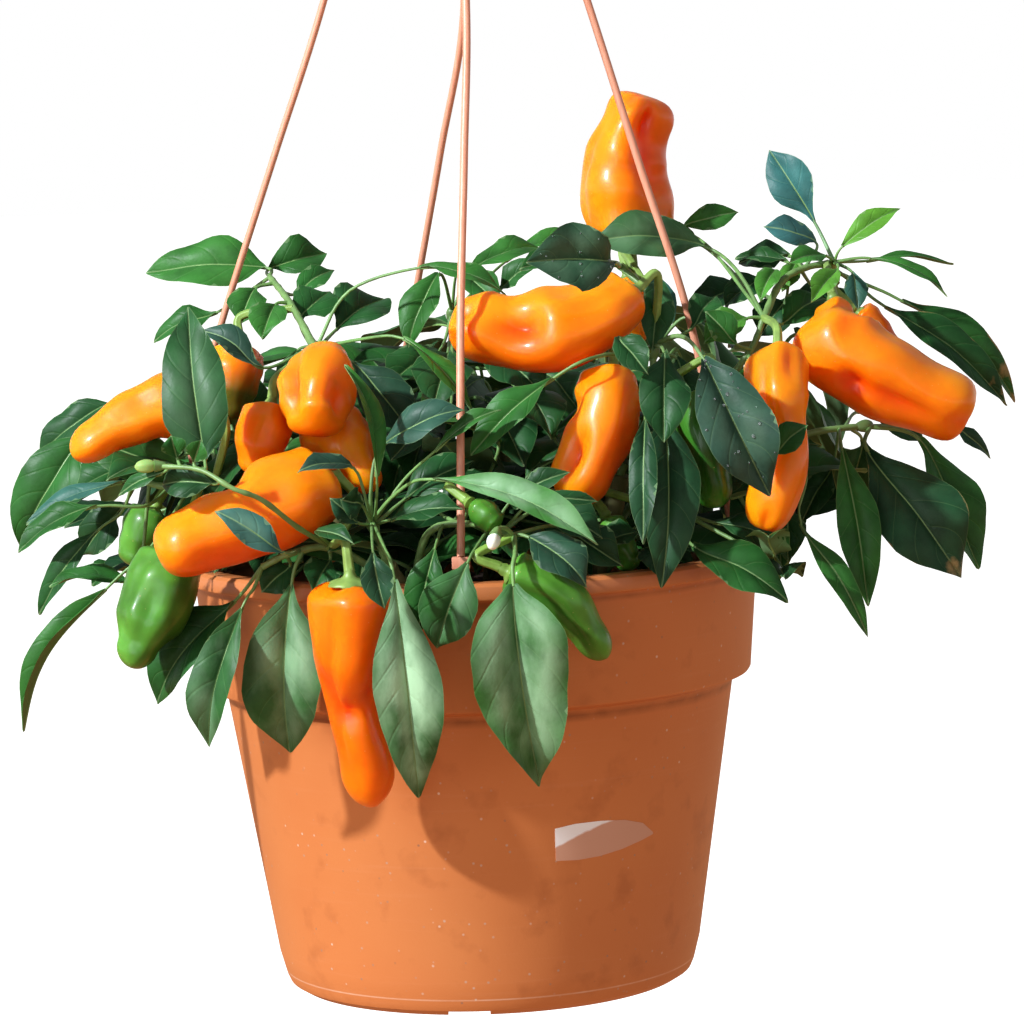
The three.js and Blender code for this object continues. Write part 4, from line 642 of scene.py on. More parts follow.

# The fruit
# Conical peppers with three blunt lobes, orange when ripe. They have a thick, waxy skin with
# soft dents and creases, and each hangs from the green cap of its stalk.
# The value that deepens a fruit's whole colour is partly its own deeper tone and partly painted
# shade.
FRUITS = {
    "front_hanging": dict(
        shoot="front_left", root=(330, 549, 106), via=(344, 541, 138),
        axis=[(350, 582, 142), (352, 640, 140), (351, 698, 134), (365, 756, 129), (372, 806, 124)],
        girths=(36, 33, 20, 22),
        dents=[(0.53, 12, 4, 0.05, 0.5), (0.43, 60, 3, 0.1, 0.5), (0.4, -50, 2, 0.12, 0.4)],
        deeper_tone_and_shade=0.27,
    ),
    "left_long": dict(
        shoot="front_left", root=(334, 549, 106), via=(356, 502, 98),
        axis=[(328, 479, 98), (250, 517, 114), (158, 557, 122)],
        girths=(34, 40, 35, 28), blunt=2.5,
        dents=[(0.42, 20, 2.5, 0.2, 0.4), (0.52, 100, 4, 0.1, 0.6), (0.72, -35, 1.5, 0.15, 0.5)],
    ),
    "upper_left": dict(
        shoot="left_outer", root=(215, 480, 56), via=(226, 428, 72),
        axis=[(200, 402, 66), (146, 412, 70), (72, 456, 74)],
        girths=(28, 28, 24, 18), dents=[(0.5, 30, 2, 0.2, 0.4)],
    ),
    "amber": dict(
        shoot="left_crown",
        axis=[(238, 348, 24), (233, 385, 30), (228, 424, 34)],
        girths=(24, 25, 22, 17), olive=0.34,
    ),
    "left_small": dict(
        shoot="left_crown",
        axis=[(270, 408, 74), (262, 440, 80), (256, 476, 80)],
        girths=(22, 24, 22, 17), deeper_tone_and_shade=0.35,
    ),
    "centre_left": dict(
        shoot="left_crown",
        axis=[(322, 366, 72), (317, 396, 90), (316, 430, 102)],
        girths=(29, 34, 31, 24), lobes=0.08,
        dents=[(0.5, 52, 4.5, 0.3, 0.3), (0.7, -50, 3, 0.2, 0.5)],
    ),
    "centre_left_low": dict(
        shoot="left_crown",
        axis=[(322, 424, 56), (342, 446, 70), (375, 489, 84)],
        girths=(26, 32, 27, 15), dents=[(0.5, 60, 3, 0.2, 0.4)], deeper_tone_and_shade=0.1,
    ),
    "top": dict(
        shoot="mid_right", root=(620, 266, 12),
        axis=[(630, 238, -12), (624, 166, -14), (645, 96, -10)],
        girths=(37, 41, 37, 29), lobes=0.08, blunt=3.2,
        dents=[
            (0.86, 18, 6, 0.12, 0.3), (0.62, 30, 3.5, 0.16, 0.35), (0.36, 42, 2.5, 0.14, 0.4),
            (0.97, -40, 4, 0.06, 0.5), (0.5, -70, 1.5, 0.1, 0.5),
        ],
    ),
    "middle": dict(
        shoot="mid_right",
        axis=[(631, 293, 68), (592, 318, 77), (532, 334, 76), (451, 326, 68)],
        girths=(26, 31, 38, 29), lobes=0.07, blunt=3.0,
        dents=[
            (0.69, 14, 8, 0.1, 0.55), (0.93, 40, 4, 0.03, 0.5), (0.96, -20, 3, 0.06, 0.3),
            (0.45, 70, 2.5, 0.1, 0.5), (0.86, 80, -2.5, 0.06, 0.5),
        ],
    ),
    "middle_rear": dict(
        shoot="mid_right", root=(645, 296, 34),
        axis=[(628, 282, -4), (632, 310, 2), (636, 344, 8)],
        girths=(17, 17, 15, 12),
    ),
    "middle_low": dict(
        shoot="mid_right",
        axis=[(612, 371, 76), (603, 424, 86), (572, 504, 90)],
        girths=(25, 29, 30, 26), lobes=0.06,
        dents=[(0.74, 38, 5, 0.14, 0.4), (0.44, 95, 3, 0.13, 0.5), (0.5, -45, 1.5, 0.2, 0.4)],
    ),
    "right_narrow": dict(
        shoot="right_crown", root=(764, 318, 42),
        axis=[(778, 354, 70), (781, 400, 86), (788, 448, 92), (764, 530, 96)],
        girths=(27, 26, 17, 22), lobes=0.06, blunt=2.8,
        dents=[(0.16, -20, 3, 0.14, 0.3), (0.97, 10, 4, 0.05, 0.4), (0.6, -30, 2, 0.1, 0.5)],
    ),
    "right_large": dict(
        shoot="right_crown", root=(826, 263, 14),
        axis=[(834, 303, 38), (843, 347, 52), (898, 384, 58), (970, 414, 58)],
        girths=(17, 38, 37, 31), lobes=0.05, blunt=3.6,
        dents=[
            (0.5, 36, 6, 0.06, 0.36), (0.68, 26, 4, 0.14, 0.3), (0.3, -25, 2.5, 0.1, 0.4),
            (0.98, 20, 3, 0.05, 0.4), (0.27, 75, -3, 0.1, 0.5),
        ],
    ),
    "right_hidden": dict(
        shoot="right_crown", root=(830, 262, 12),
        axis=[(858, 312, 6), (874, 328, 6), (896, 354, 4)],
        girths=(14, 15, 14, 11), deeper_tone_and_shade=0.4,
    ),
    "green_left": dict(
        shoot="left_outer", root=(200, 482, 57),
        axis=[(176, 553, 90), (152, 612, 98), (131, 668, 102)],
        girths=(28, 32, 29, 17), dents=[(0.5, 5, 2, 0.3, 0.3)], lobes=0.06, green=True,
    ),
    "green_left_rear": dict(
        shoot="left_outer",
        axis=[(154, 510, 36), (142, 536, 38), (132, 566, 38)],
        girths=(19, 21, 19, 15), green=True,
    ),
    "green_front": dict(
        shoot="front_right",
        axis=[(509, 572, 138), (560, 598, 138), (607, 658, 134)],
        girths=(20, 22, 21, 15), dents=[(0.5, 20, 2.5, 0.3, 0.3)], lobes=0.06, green=True,
    ),
    "green_rim": dict(
        shoot="right_front",
        axis=[(608, 520, 82), (620, 543, 86), (633, 570, 88)],
        girths=(13, 14, 13, 11), deeper_tone_and_shade=0.2, green=True,
    ),
    "green_young": dict(
        shoot="front_right",
        axis=[(474, 506, 128), (486, 515, 132), (499, 526, 134)],
        girths=(9, 12, 12, 10), deeper_tone_and_shade=0.5, green=True,
    ),
    "green_right": dict(
        shoot="mid_right",
        axis=[(706, 392, 80), (704, 440, 86), (718, 508, 88)],
        girths=(22, 23, 22, 18), deeper_tone_and_shade=0.7, green=True,
    ),
    "back_1": dict(
        shoot="back_1",
        axis=[(420, 430, -112), (414, 470, -122), (410, 520, -128)],
        girths=(30, 32, 26, 18),
    ),
    "back_2": dict(
        shoot="back_3",
        axis=[(640, 400, -96), (664, 430, -106), (690, 470, -110)],
        girths=(28, 31, 27, 20),
    ),
    "back_3": dict(
        shoot="back_4",
        axis=[(330, 450, -92), (318, 480, -98), (306, 520, -100)],
        girths=(24, 26, 23, 17), green=True,
    ),
}
SHOULDER, TIP_FROM = 0.08, 0.82
GIRTH_STATIONS = (SHOULDER, 0.3, 0.55, TIP_FROM)
SHALLOW_LOBES = 0.045
LOBE_TURN = 0.6
FRUIT_SIDES = 44
FRUIT_RINGS = {"shoulder": 8, "body": 24, "tip": 10}
DENT_DEPTH = 1.15
HOLLOW_TOP = {"depth": 0.022, "reach": 0.4, "swell": 0.048}
CREASE = {"depth": 0.045, "width": 0.2, "twist": 0.7, "end": 0.75}
FLESH = {"ripe": ("#ff8d04", "#f24c00"), "green": ("#559030", "#1c5a12"), "olive": "#5f5a18"}
# The way towards the lamp: fruit are painted paler on the side that faces it and deeper on the far
# side, painted light and shade.
PAINTED_LIGHT_SIDE = unit(np.array((-0.35, -0.45, 0.8)))


class Seeded:
    """A draw of numbers that comes out the same in every run."""

    def __init__(self, value):
        self.value = value

    def draw(self, low, high):
        self.value = self.value * 16807 % 2147483647
        return low + (high - low) * self.value / 2147483647


def blend(stations, values, where):
    """A value eased from station to station."""
    if where <= stations[0]:
        return values[0]
    for i in range(1, len(stations)):
        if where <= stations[i]:
            t = (where - stations[i - 1]) / (stations[i] - stations[i - 1])
            return values[i - 1] + (values[i] - values[i - 1]) * t * t * (3 - 2 * t)
    return values[-1]


def fruit_frame(fruit, share):
    """Where the fruit's axis is at a share of its length, its way, its front and its side."""
    line = fruit["line"]
    where = share * (len(line) - 1)
    way = heading(line, where)
    front = unit(np.array((0.0, -1.0, 0.0)) + way * way[1])
    return on_line(line, where), way, front, np.cross(way, front)


def hollows(fruit, share, angles):
    """Each dent's depth in mm, and how strong it is at these angles."""
    for along, turn, deep, reach, spread in fruit.get("dents", ()):
        away = np.angle(np.exp(1j * (angles - math.radians(turn))))
        yield deep, np.exp(-(((share - along) / reach) ** 2) - (away / spread) ** 2)


def fruit_radius(fruit, share, angles):
    radius = blend(GIRTH_STATIONS, fruit["girths"], share) / 2
    lobes = fruit.get("lobes", SHALLOW_LOBES) * (0.5 + 1.0 * abs(share - 0.45) / 0.45)
    radius = radius * (1 + lobes * np.cos(3 * angles + LOBE_TURN))
    for deep, hollow in hollows(fruit, share, angles):
        radius = radius - deep * DENT_DEPTH * hollow
    if share > TIP_FROM:
        blunt = fruit.get("blunt", 2.0)
        into_tip = (share - TIP_FROM) / (1 - TIP_FROM)
        radius = radius * max(1 - into_tip**blunt, 0.0) ** (1 / blunt)
    return radius


def fruit_tint(fruit, share, angles, chance_turn, painted_lit_share):
    """Paler on the side towards the lamp and deeper on the far side, painted light and shade;
    deeper in the dents, painted shade; redder on one flank; one is half olive.
    """
    deep = 0.3 + 0.22 * np.cos(angles - chance_turn) * math.sin(math.pi * share) - 0.45 * painted_lit_share
    # Painted shade: the colour deepens in the dents.
    for depth, hollow in hollows(fruit, share, angles):
        deep = deep + 0.14 * depth * hollow
    # The fruit's own deepening, partly painted shade.
    deep = np.clip(deep + fruit.get("deeper_tone_and_shade", 0.0), 0, 1)[:, None]
    light, dark = FLESH["green" if fruit.get("green") else "ripe"]
    tint = np.array(paint(light)) * (1 - deep) + np.array(paint(dark)) * deep
    olive = np.clip((share - fruit.get("olive", 2.0)) / 0.3, 0, 1)
    return tint * (1 - olive) + np.array(paint(FLESH["olive"])) * olive


def make_pepper(fruit, chance):
    """Rings over the shoulder, down the body and round the tip, with creases."""
    length = np.linalg.norm(fruit["line"][0] - fruit["line"][-1])
    angles = np.arange(FRUIT_SIDES) / FRUIT_SIDES * 2 * math.pi
    turns = [chance.draw(0, 2 * math.pi) for _ in range(7)]
    levels = []
    for step in range(1, FRUIT_RINGS["shoulder"]):
        lean = math.pi / 2 * step / FRUIT_RINGS["shoulder"]
        levels.append((SHOULDER * (1 - math.cos(lean)), math.sin(lean) ** 0.9))
    for step in range(FRUIT_RINGS["body"]):
        levels.append((SHOULDER + (TIP_FROM - SHOULDER) * step / FRUIT_RINGS["body"], 1.0))
    for step in range(FRUIT_RINGS["tip"]):
        lean = math.pi / 2 * step / (FRUIT_RINGS["tip"] - 0.8)
        levels.append((TIP_FROM + (1 - TIP_FROM) * math.sin(lean), 1.0))
    rings, tints = [], []
    for share, drawn_in in levels:
        centre, way, front, side = fruit_frame(fruit, share)
        radius = fruit_radius(fruit, share, angles) * drawn_in
        uneven = 0.034 * math.sin(9 * share + turns[0]) * np.cos(angles + turns[1])
        uneven += 0.02 * np.sin(19 * share + turns[2] + 2 * angles)
        uneven += 0.012 * np.sin(5 * angles + 9 * share + turns[3])
        radius = radius * (1 + uneven)
        for turn in turns[4:6]:
            away = np.angle(np.exp(1j * (angles - turn - CREASE["twist"] * share)))
            window = math.sin(math.pi * min(share / CREASE["end"], 1.0)) ** 0.7
            furrow = window * np.exp(-((away / CREASE["width"]) ** 2))
            radius = radius - fruit["girths"][0] * CREASE["depth"] * furrow
        dip = np.zeros(FRUIT_SIDES)
        if drawn_in < 1:
            swell = HOLLOW_TOP["swell"] * drawn_in * (1 - drawn_in)
            dip += HOLLOW_TOP["depth"] * math.exp(-((drawn_in / HOLLOW_TOP["reach"]) ** 2))
            dip -= swell * np.cos(3 * angles + LOBE_TURN)
        ring = (
            centre
            + np.outer(length * dip, way)
            + np.outer(radius * np.cos(angles), front)
            + np.outer(radius * np.sin(angles), side)
        )
        rings.append(ring)
        flank = np.outer(np.cos(angles), front) + np.outer(np.sin(angles), side)
        tints.append(fruit_tint(fruit, share, angles, turns[6], flank @ PAINTED_LIGHT_SIDE))
    top = fruit["line"][0] + fruit_frame(fruit, 0)[1] * length * 0.024
    tint = np.concatenate((tints[0][:1], *tints, tints[-1][:1]))
    heap = Heap()
    heap.skin(top, rings, fruit["line"][-1] * 0.5 + rings[-1].mean(axis=0) * 0.5, tint=tint)
    return heap


# Pepper skin: a thick clear wax over the flesh gives sharp highlights; light goes a little
# way into the ripe flesh. The skin is faintly uneven, with small pale pores.
WAXY = dict(
    Roughness=0.38, IOR=1.45, Specular_IOR_Level=0.3, Coat_Weight=0.25, Coat_Roughness=0.12,
    Subsurface_Radius=(1.0, 0.35, 0.12), Subsurface_Scale=0.014,
)
pepper_skins = {}
# Green skin varies more in tone: its pale patches are partly its own mottling and partly painted
# highlight.
for kind, flesh, uneven in (("ripe", 0.75, 0.12), ("green", 0.1, 0.38)):
    skin, tree, shader = new_finish(f"{kind}_pepper_skin", Subsurface_Weight=flesh, **WAXY)
    place = add_node(tree, "TexCoord", out="Object")
    tint = add_node(tree, "Attribute", out="Color", attribute_name="tint")
    tone = add_node(tree, "TexNoise", {"Vector": place, "Scale": 1 / 0.02, "Detail": 3.0})
    tone = {"Value": tone, 1: 0.34, 2: 0.66, 3: 1 - uneven, 4: 1 + 0.8 * uneven}
    tone = add_node(tree, "MapRange", tone)
    toned = add_node(tree, "VectorMath", {0: tint, "Scale": tone}, operation="SCALE")
    pores = add_node(tree, "TexVoronoi", {"Vector": place, "Scale": 1 / 0.0035})
    pores = add_node(tree, "MapRange", {"Value": pores, 1: 0.03, 2: 0.09, 3: 0.3, 4: 0.0})
    pores_over = {0: pores, 6: toned, 7: paint("#ffc890")}
    shown = add_node(tree, "Mix", pores_over, 2, data_type="RGBA")
    swell = add_node(tree, "TexNoise", {"Vector": place, "Scale": 1 / 0.012, "Detail": 2.0})
    relief = add_node(tree, "Bump", {"Strength": 0.35, "Distance": 0.0012, "Height": swell})
    wire(tree, shader, shown, relief)
    pepper_skins[kind] = skin

for number, (name, fruit) in enumerate(FRUITS.items()):
    fruit["line"] = [at(*point) for point in fruit["axis"]]
    kind, slot = ("green", "unripe") if fruit.get("green") else ("ripe", "ripe")
    heap = make_pepper(fruit, Seeded(4001 + 97 * number))
    heap.piece(f"pepper_{name}", [pepper_skins[kind]], slot, [f"fruit_{name}"], sharp=70)

# The flower buds
# Small closed buds, white and greenish, with the petals folded to a blunt point. Each sits
# in a green cup at the end of a thin stalk.
BUDS = {
    "front": dict(shoot="front_right", base=(496, 534, 145), tip=(491, 549, 151), tone="#e9ecd9"),
    "left": dict(shoot="front_left", base=(158, 466, 130), tip=(134, 467, 132), tone="#93b662"),
}
BUD_WIDTH = 5.6

petal, tree, shader = new_finish(
    "folded_petals", Roughness=0.6, Subsurface_Weight=0.2, Subsurface_Scale=0.002
)
wire(tree, shader, add_node(tree, "Attribute", out="Color", attribute_name="tint"))

for name, bud in BUDS.items():
    bud["base"], bud["tip"] = at(*bud["base"]), at(*bud["tip"])
    along = bud["tip"] - bud["base"]
    heap = Heap()
    heap.sweep(
        [bud["base"] + along * 0.03, bud["base"] + along * 0.97],
        lambda share: BUD_WIDTH / 2 * math.sqrt(max(1 - (2 * share - 1) ** 2, 0.02)),
        30,
        14,
        ridges=0.05,
        tint=paint(bud["tone"]),
    )
    heap.piece(f"flower_bud_{name}", [petal], "bud", [f"bud_{name}"])

# The leafy stems
# Green stems fork from the trunks and carry the leaves, each on its own stalk. A pepper leaf
# is ovate and drawn out to a point, glossy and quilted between its side veins, with a pale
# midrib, a thin pale margin and a duller, paler underside.
SHOOTS = {
    "left_crown": dict(trunk="left", start=3, stems=[
        [(316, 420, 30), (317, 388, 33), (314, 346, 46)],
        [(314, 346, 46), (290, 303, 20), (270, 277, -18)],
    ]),
    "left_outer": dict(trunk="left", start=2, stems=[
        [(272, 462, 44), (215, 480, 56), (170, 487, 60), (130, 478, 50)],
    ]),
    "front_crown": dict(trunk="front", start=3, stems=[[(380, 545, 100), (371, 520, 104)]]),
    "front_left": dict(trunk="front", start=2.3, thin=1, stems=[
        [(336, 549, 106), (292, 553, 110), (262, 567, 110)],
        [(336, 549, 106), (300, 529, 128), (262, 500, 143), (232, 488, 147),
         (200, 470, 140), (160, 466, 130)],
    ]),
    "front_right": dict(trunk="front", start=1.6, stems=[
        [(428, 534, 96), (474, 524, 103), (514, 536, 132)],
    ]),
    "middle_back": dict(trunk="back", start=3, stems=[
        [(480, 430, -36), (455, 360, -14), (452, 310, 4)],
    ]),
    "mid_right": dict(trunk="right", start=3, stems=[
        [(648, 410, 62), (654, 345, 58)],
        [(654, 345, 58), (657, 304, 30), (620, 266, 12)],
    ]),
    "right_crown": dict(trunk="right", start=2.4, stems=[
        [(702, 410, 46), (748, 354, 46), (764, 318, 42)],
        [(764, 318, 42), (780, 284, 28), (802, 269, 20), (834, 262, 12)],
    ]),
    "right_low": dict(trunk="right", start=1.7, stems=[
        [(720, 474, 44), (800, 436, 46), (870, 425, 34)],
    ]),
    "right_front": dict(trunk="right", start=1.25, stems=[[(648, 524, 54), (672, 508, 68)]]),
}


def leaf_at(base, tip, width, face, tone, **more):
    """A leaf's row: its base and tip in the picture, its width in mm, the turn and the rise
    that it faces, and its tone from bluish to bright. Root and via lie on its stalk. Full,
    lean, taper and fold shape its blade, and over lifts it towards the viewer. Pale is its
    dust and painted sheen, raised on some leaves as painted light; harm is how scorched it
    is, and drops counts the water on it."""
    for key in ("root", "via"):
        if key in more:
            more[key] = at(*more[key])
    return dict(base=at(*base), tip=at(*tip), width=width, face=face, tone=tone, **more)


# A leaf's pale value sets its dust and painted sheen; on some front leaves it is raised as painted
# light.
LEAVES = {
    "left_crown": [
        leaf_at((266, 268, -26), (147, 275, -34), 21, (-10, 38), 0.42,
                root=(270, 277, -18), full=1.3, lean=0.9),
        leaf_at((268, 270, -32), (326, 254, -46), 15, (10, 35), 0.35,
                root=(272, 279, -16), full=1.4),
        leaf_at((296, 294, -10), (334, 270, -24), 9, (0, 45), 0.3, root=(284, 296, 8), full=1.5),
        leaf_at((256, 288, -4), (240, 323, 6), 13, (-10, 25), 0.45, root=(274, 281, -8), full=1.4),
        leaf_at((276, 304, 16), (262, 338, 24), 15, (-10, 15), 0.5, root=(290, 303, 20), full=1.2),
        leaf_at((218, 312, -36), (152, 340, -42), 11, (-20, 40), 0.3,
                root=(270, 277, -18), full=1.4),
        leaf_at((264, 368, 60), (202, 327, 54), 13, (0, 50), -0.1),
        leaf_at((298, 350, 58), (282, 396, 70), 10, (-10, 30), 0.2),
        leaf_at((352, 362, 70), (410, 430, 88), 22, (10, 20), -0.05),
        leaf_at((402, 338, 80), (476, 412, 90), 11, (25, 60), 0.55, via=(362, 339, 68)),
        leaf_at((418, 268, 50), (508, 289, 56), 12, (0, 60), 0.45, via=(348, 292, 42)),
        leaf_at((336, 330, 20), (384, 300, -8), 20, (10, 50), 0.15, full=1.4),
        leaf_at((300, 322, 22), (330, 292, 4), 14, (0, 45), 0.2, full=1.6),
    ],
    "left_outer": [
        leaf_at((88, 438, 42), (16, 548, 38), 24, (-25, 18), 0.3, full=1.25),
        leaf_at((112, 405, 8), (36, 458, 0), 15, (-20, 40), 0.1, via=(128, 440, 24), full=1.3),
        leaf_at((122, 482, 72), (25, 523, 70), 11, (-10, 60), -0.5),
        leaf_at((98, 506, 88), (17, 551, 84), 15, (-10, 50), 0.32,
                root=(170, 487, 60), via=(145, 506, 84)),
        leaf_at((98, 530, 26), (40, 615, 18), 14, (-40, 20), 0.15, via=(122, 512, 34)),
        leaf_at((107, 588, 80), (17, 731, 76), 14, (-50, 30), 0.42,
                root=(190, 484, 58), via=(152, 546, 78), fold=42),
        leaf_at((158, 458, 36), (103, 447, 30), 16, (-10, 35), 0.35),
        leaf_at((120, 470, 22), (62, 505, 12), 20, (-20, 45), 0.2),
        leaf_at((122, 508, 6), (82, 555, -8), 18, (-20, 20), 0.1),
        leaf_at((212, 440, 30), (196, 392, 12), 22, (-15, 30), 0.15, root=(215, 480, 56)),
        leaf_at((250, 430, 22), (232, 375, 2), 24, (0, 30), 0.2, root=(240, 475, 50)),
    ],
    "front_crown": [
        leaf_at((394, 578, 150), (420, 807, 140), 31, (5, 5), 0.3,
                via=(384, 548, 140), pale=0.95, full=0.93, lean=1.04, taper=0.14),
        leaf_at((373, 552, 156), (384, 608, 164), 13, (0, 5), 0),
        leaf_at((432, 479, 124), (600, 542, 150), 16, (10, 50), 0.6,
                via=(398, 492, 112), pale=0.75, full=1.15),
        leaf_at((380, 449, 106), (461, 406, 118), 17, (0, 40), -0.15, via=(371, 488, 108)),
        leaf_at((434, 452, 112), (500, 408, 114), 8, (0, 55), 0.45, via=(404, 480, 104)),
        leaf_at((358, 523, 118), (331, 499, 124), 10, (-20, 30), 0),
        leaf_at((390, 520, 116), (462, 507, 128), 15, (5, 55), 0.12),
        leaf_at((404, 500, 96), (474, 462, 90), 18, (0, 50), 0.1),
        leaf_at((354, 468, 126), (299, 468, 138), 11, (-10, 50), -0.1, via=(366, 500, 120)),
        leaf_at((362, 505, 104), (342, 500, 96), 13, (-10, 10), 0.05),
        leaf_at((377, 478, 120), (347, 363, 108), 13, (60, 15), 0.5),
    ],
    "front_left": [
        leaf_at((292, 583, 118), (288, 757, 114), 31, (-8, 6), 0.26,
                root=(302, 552, 110), pale=0.45, full=1.1, lean=1.14, taper=-0.1),
        leaf_at((243, 606, 120), (203, 750, 122), 20, (-25, 6), 0.2,
                root=(262, 567, 110), via=(254, 588, 116), fold=30, pale=0.35, lean=1.15),
        leaf_at((236, 600, 100), (150, 703, 104), 23, (-35, 30), 0.25,
                root=(262, 567, 110), full=1.25),
        leaf_at((284, 553, 146), (217, 510, 154), 12, (0, 30), -0.6,
                root=(300, 552, 110), pale=0.25, full=1.2),
        leaf_at((290, 566, 104), (262, 592, 108), 15, (0, 20), 0.1, root=(285, 553, 110)),
        leaf_at((330, 560, 98), (314, 590, 106), 15, (0, 20), 0.1, root=(330, 549, 106)),
        leaf_at((214, 484, 134), (160, 484, 122), 14, (-5, 20), 0.1, root=(222, 482, 145)),
        leaf_at((205, 462, 120), (187, 303, 92), 28, (-5, 5), 0.1,
                root=(206, 474, 141), pale=0.1, full=1.05, lean=0.8, taper=0.15),
        leaf_at((177, 458, 132), (171, 436, 134), 10, (0, 20), 0.3, root=(180, 468, 135)),
        leaf_at((194, 462, 134), (201, 440, 138), 9, (0, 20), 0.35, root=(195, 469, 138)),
        leaf_at((162, 473, 130), (118, 495, 122), 8, (-10, 45), 0.2, root=(172, 467, 133)),
        leaf_at((316, 532, 130), (352, 540, 148), 9, (0, 50), 0.1, root=(336, 549, 106)),
    ],
    "front_right": [
        leaf_at((513, 582, 156), (541, 790, 140), 41, (0, 8), 0.42,
                via=(515, 554, 148), pale=0.55, full=1.1, lean=0.84, taper=0.35),
        leaf_at((468, 562, 142), (437, 648, 140), 21, (-10, 10), 0.3,
                root=(470, 527, 118), via=(476, 548, 134), pale=0.25, full=1.2),
        leaf_at((435, 548, 130), (418, 634, 134), 14, (-15, 5), 0.3,
                root=(440, 534, 106), full=1.2),
        leaf_at((528, 537, 128), (588, 583, 136), 19, (15, 25), -0.05),
        leaf_at((556, 526, 110), (622, 566, 114), 18, (10, 35), 0.05, root=(505, 532, 130)),
        leaf_at((540, 508, 102), (602, 538, 104), 17, (10, 40), 0.05, root=(490, 526, 124)),
        leaf_at((512, 500, 112), (569, 472, 116), 10, (0, 35), 0.1, root=(478, 524, 120)),
        leaf_at((534, 500, 118), (598, 501, 118), 7, (0, 40), 0.1, root=(490, 526, 124)),
        leaf_at((440, 510, 84), (500, 476, 76), 18, (0, 40), 0.1, root=(450, 531, 110)),
    ],
    "middle_back": [
        leaf_at((440, 274, 26), (406, 345, 38), 17, (-30, 15), 0.4),
        leaf_at((458, 272, 14), (500, 306, 34), 15, (10, 40), 0.35),
        leaf_at((470, 272, -6), (548, 244, -22), 16, (0, 60), 0.45),
        leaf_at((505, 262, -24), (592, 231, -36), 11, (0, 60), 0.5),
        leaf_at((496, 292, 22), (540, 262, 28), 12, (0, 45), 0.3),
        leaf_at((440, 350, 22), (388, 385, 50), 20, (-10, 35), 0.2),
        leaf_at((448, 352, 30), (432, 408, 62), 24, (0, 30), 0.15),
        leaf_at((480, 350, 20), (544, 395, 48), 24, (10, 30), 0.1),
        leaf_at((484, 400, 16), (524, 466, 62), 26, (0, 30), 0.1, root=(470, 400, -26)),
        leaf_at((440, 420, 10), (410, 478, 62), 26, (-10, 30), 0.15, root=(470, 400, -26)),
        leaf_at((476, 440, 6), (466, 522, 40), 27, (0, 30), 0.2, root=(470, 400, -26)),
        leaf_at((520, 425, -6), (566, 496, 26), 27, (10, 30), 0.15, root=(470, 400, -26)),
        leaf_at((412, 392, -14), (364, 452, 14), 25, (-10, 30), 0.2, root=(460, 370, -18)),
        leaf_at((540, 372, -14), (596, 438, 12), 24, (10, 35), 0.2, root=(455, 360, -14)),
    ],
    "mid_right": [
        leaf_at((703, 358, 104), (771, 497, 118), 33, (5, 10), -0.1,
                via=(680, 336, 84), pale=0.1, drops=34, full=0.98),
        leaf_at((554, 378, 98), (470, 455, 100), 16, (-10, 40), 0.35, via=(592, 358, 98)),
        leaf_at((620, 338, 84), (647, 373, 96), 14, (0, 20), 0.1),
        leaf_at((663, 412, 84), (663, 588, 116), 26, (5, 5), 0.02, root=(650, 395, 62), full=1.0),
        leaf_at((645, 418, 84), (644, 545, 112), 17, (-12, 5), 0.02,
                root=(648, 405, 62), full=0.75),
        leaf_at((676, 358, 56), (692, 412, 70), 17, (15, 20), 0.1),
        leaf_at((612, 262, 70), (526, 263, 92), 26, (-5, 12), -0.02,
                root=(620, 266, 12), pale=0.14, over=34, drops=16, full=1.15, lean=0.9),
        leaf_at((655, 272, 36), (658, 338, 44), 15, (20, 10), -0.5, root=(640, 288, 30)),
        leaf_at((590, 262, 14), (520, 270, 22), 16, (0, 50), 0.3, root=(620, 266, 12)),
        leaf_at((690, 330, 40), (716, 296, 22), 13, (10, 50), 0.2, root=(654, 345, 58)),
        leaf_at((664, 352, 76), (664, 442, 92), 20, (5, 10), 0.1, root=(654, 345, 58)),
        leaf_at((684, 410, 80), (690, 502, 96), 15, (15, 10), 0.2, root=(650, 395, 62)),
        leaf_at((660, 284, 50), (652, 352, 72), 14, (10, 12), 0.15, root=(654, 345, 58), pale=0.1),
    ],
    "right_crown": [
        leaf_at((706, 247, 0), (592, 240, 15), 17, (0, 30), 0.2,
                root=(764, 318, 42), via=(738, 272, 20), pale=0.25, full=1.4, over=0),
        leaf_at((736, 344, 56), (706, 312, 58), 13, (-10, 30), 0.35, root=(752, 350, 46)),
        leaf_at((782, 324, 42), (826, 298, 30), 15, (10, 40), 0.3, root=(764, 318, 42)),
        leaf_at((684, 228, -20), (738, 211, -24), 12, (0, 20), 0.5,
                root=(764, 318, 42), via=(712, 250, -4), full=1.05),
        leaf_at((700, 244, -16), (646, 236, -26), 13, (0, 30), 0.15,
                root=(764, 318, 42), via=(736, 276, 10), full=1.2),
        leaf_at((815, 223, 2), (770, 151, -8), 18, (-25, 20), -0.7, root=(834, 262, 12)),
        leaf_at((817, 244, 16), (765, 226, 24), 13, (0, 30), -0.75, root=(806, 268, 19)),
        leaf_at((842, 247, 14), (900, 207, 8), 11, (0, 40), 0.95, root=(834, 262, 12)),
        leaf_at((868, 258, 14), (950, 292, 20), 9, (10, 60), 0.5, root=(834, 262, 12)),
        leaf_at((866, 261, -2), (953, 266, -16), 7, (0, 70), 0.45, root=(834, 262, 12)),
        leaf_at((852, 272, 32), (858, 309, 42), 10, (10, 10), -0.35, root=(834, 262, 12)),
        leaf_at((788, 262, -6), (735, 258, -20), 11, (-10, 60), 0.2, root=(790, 277, 24)),
        leaf_at((884, 306, 4), (1010, 405, 0), 16, (15, 40), 0.15,
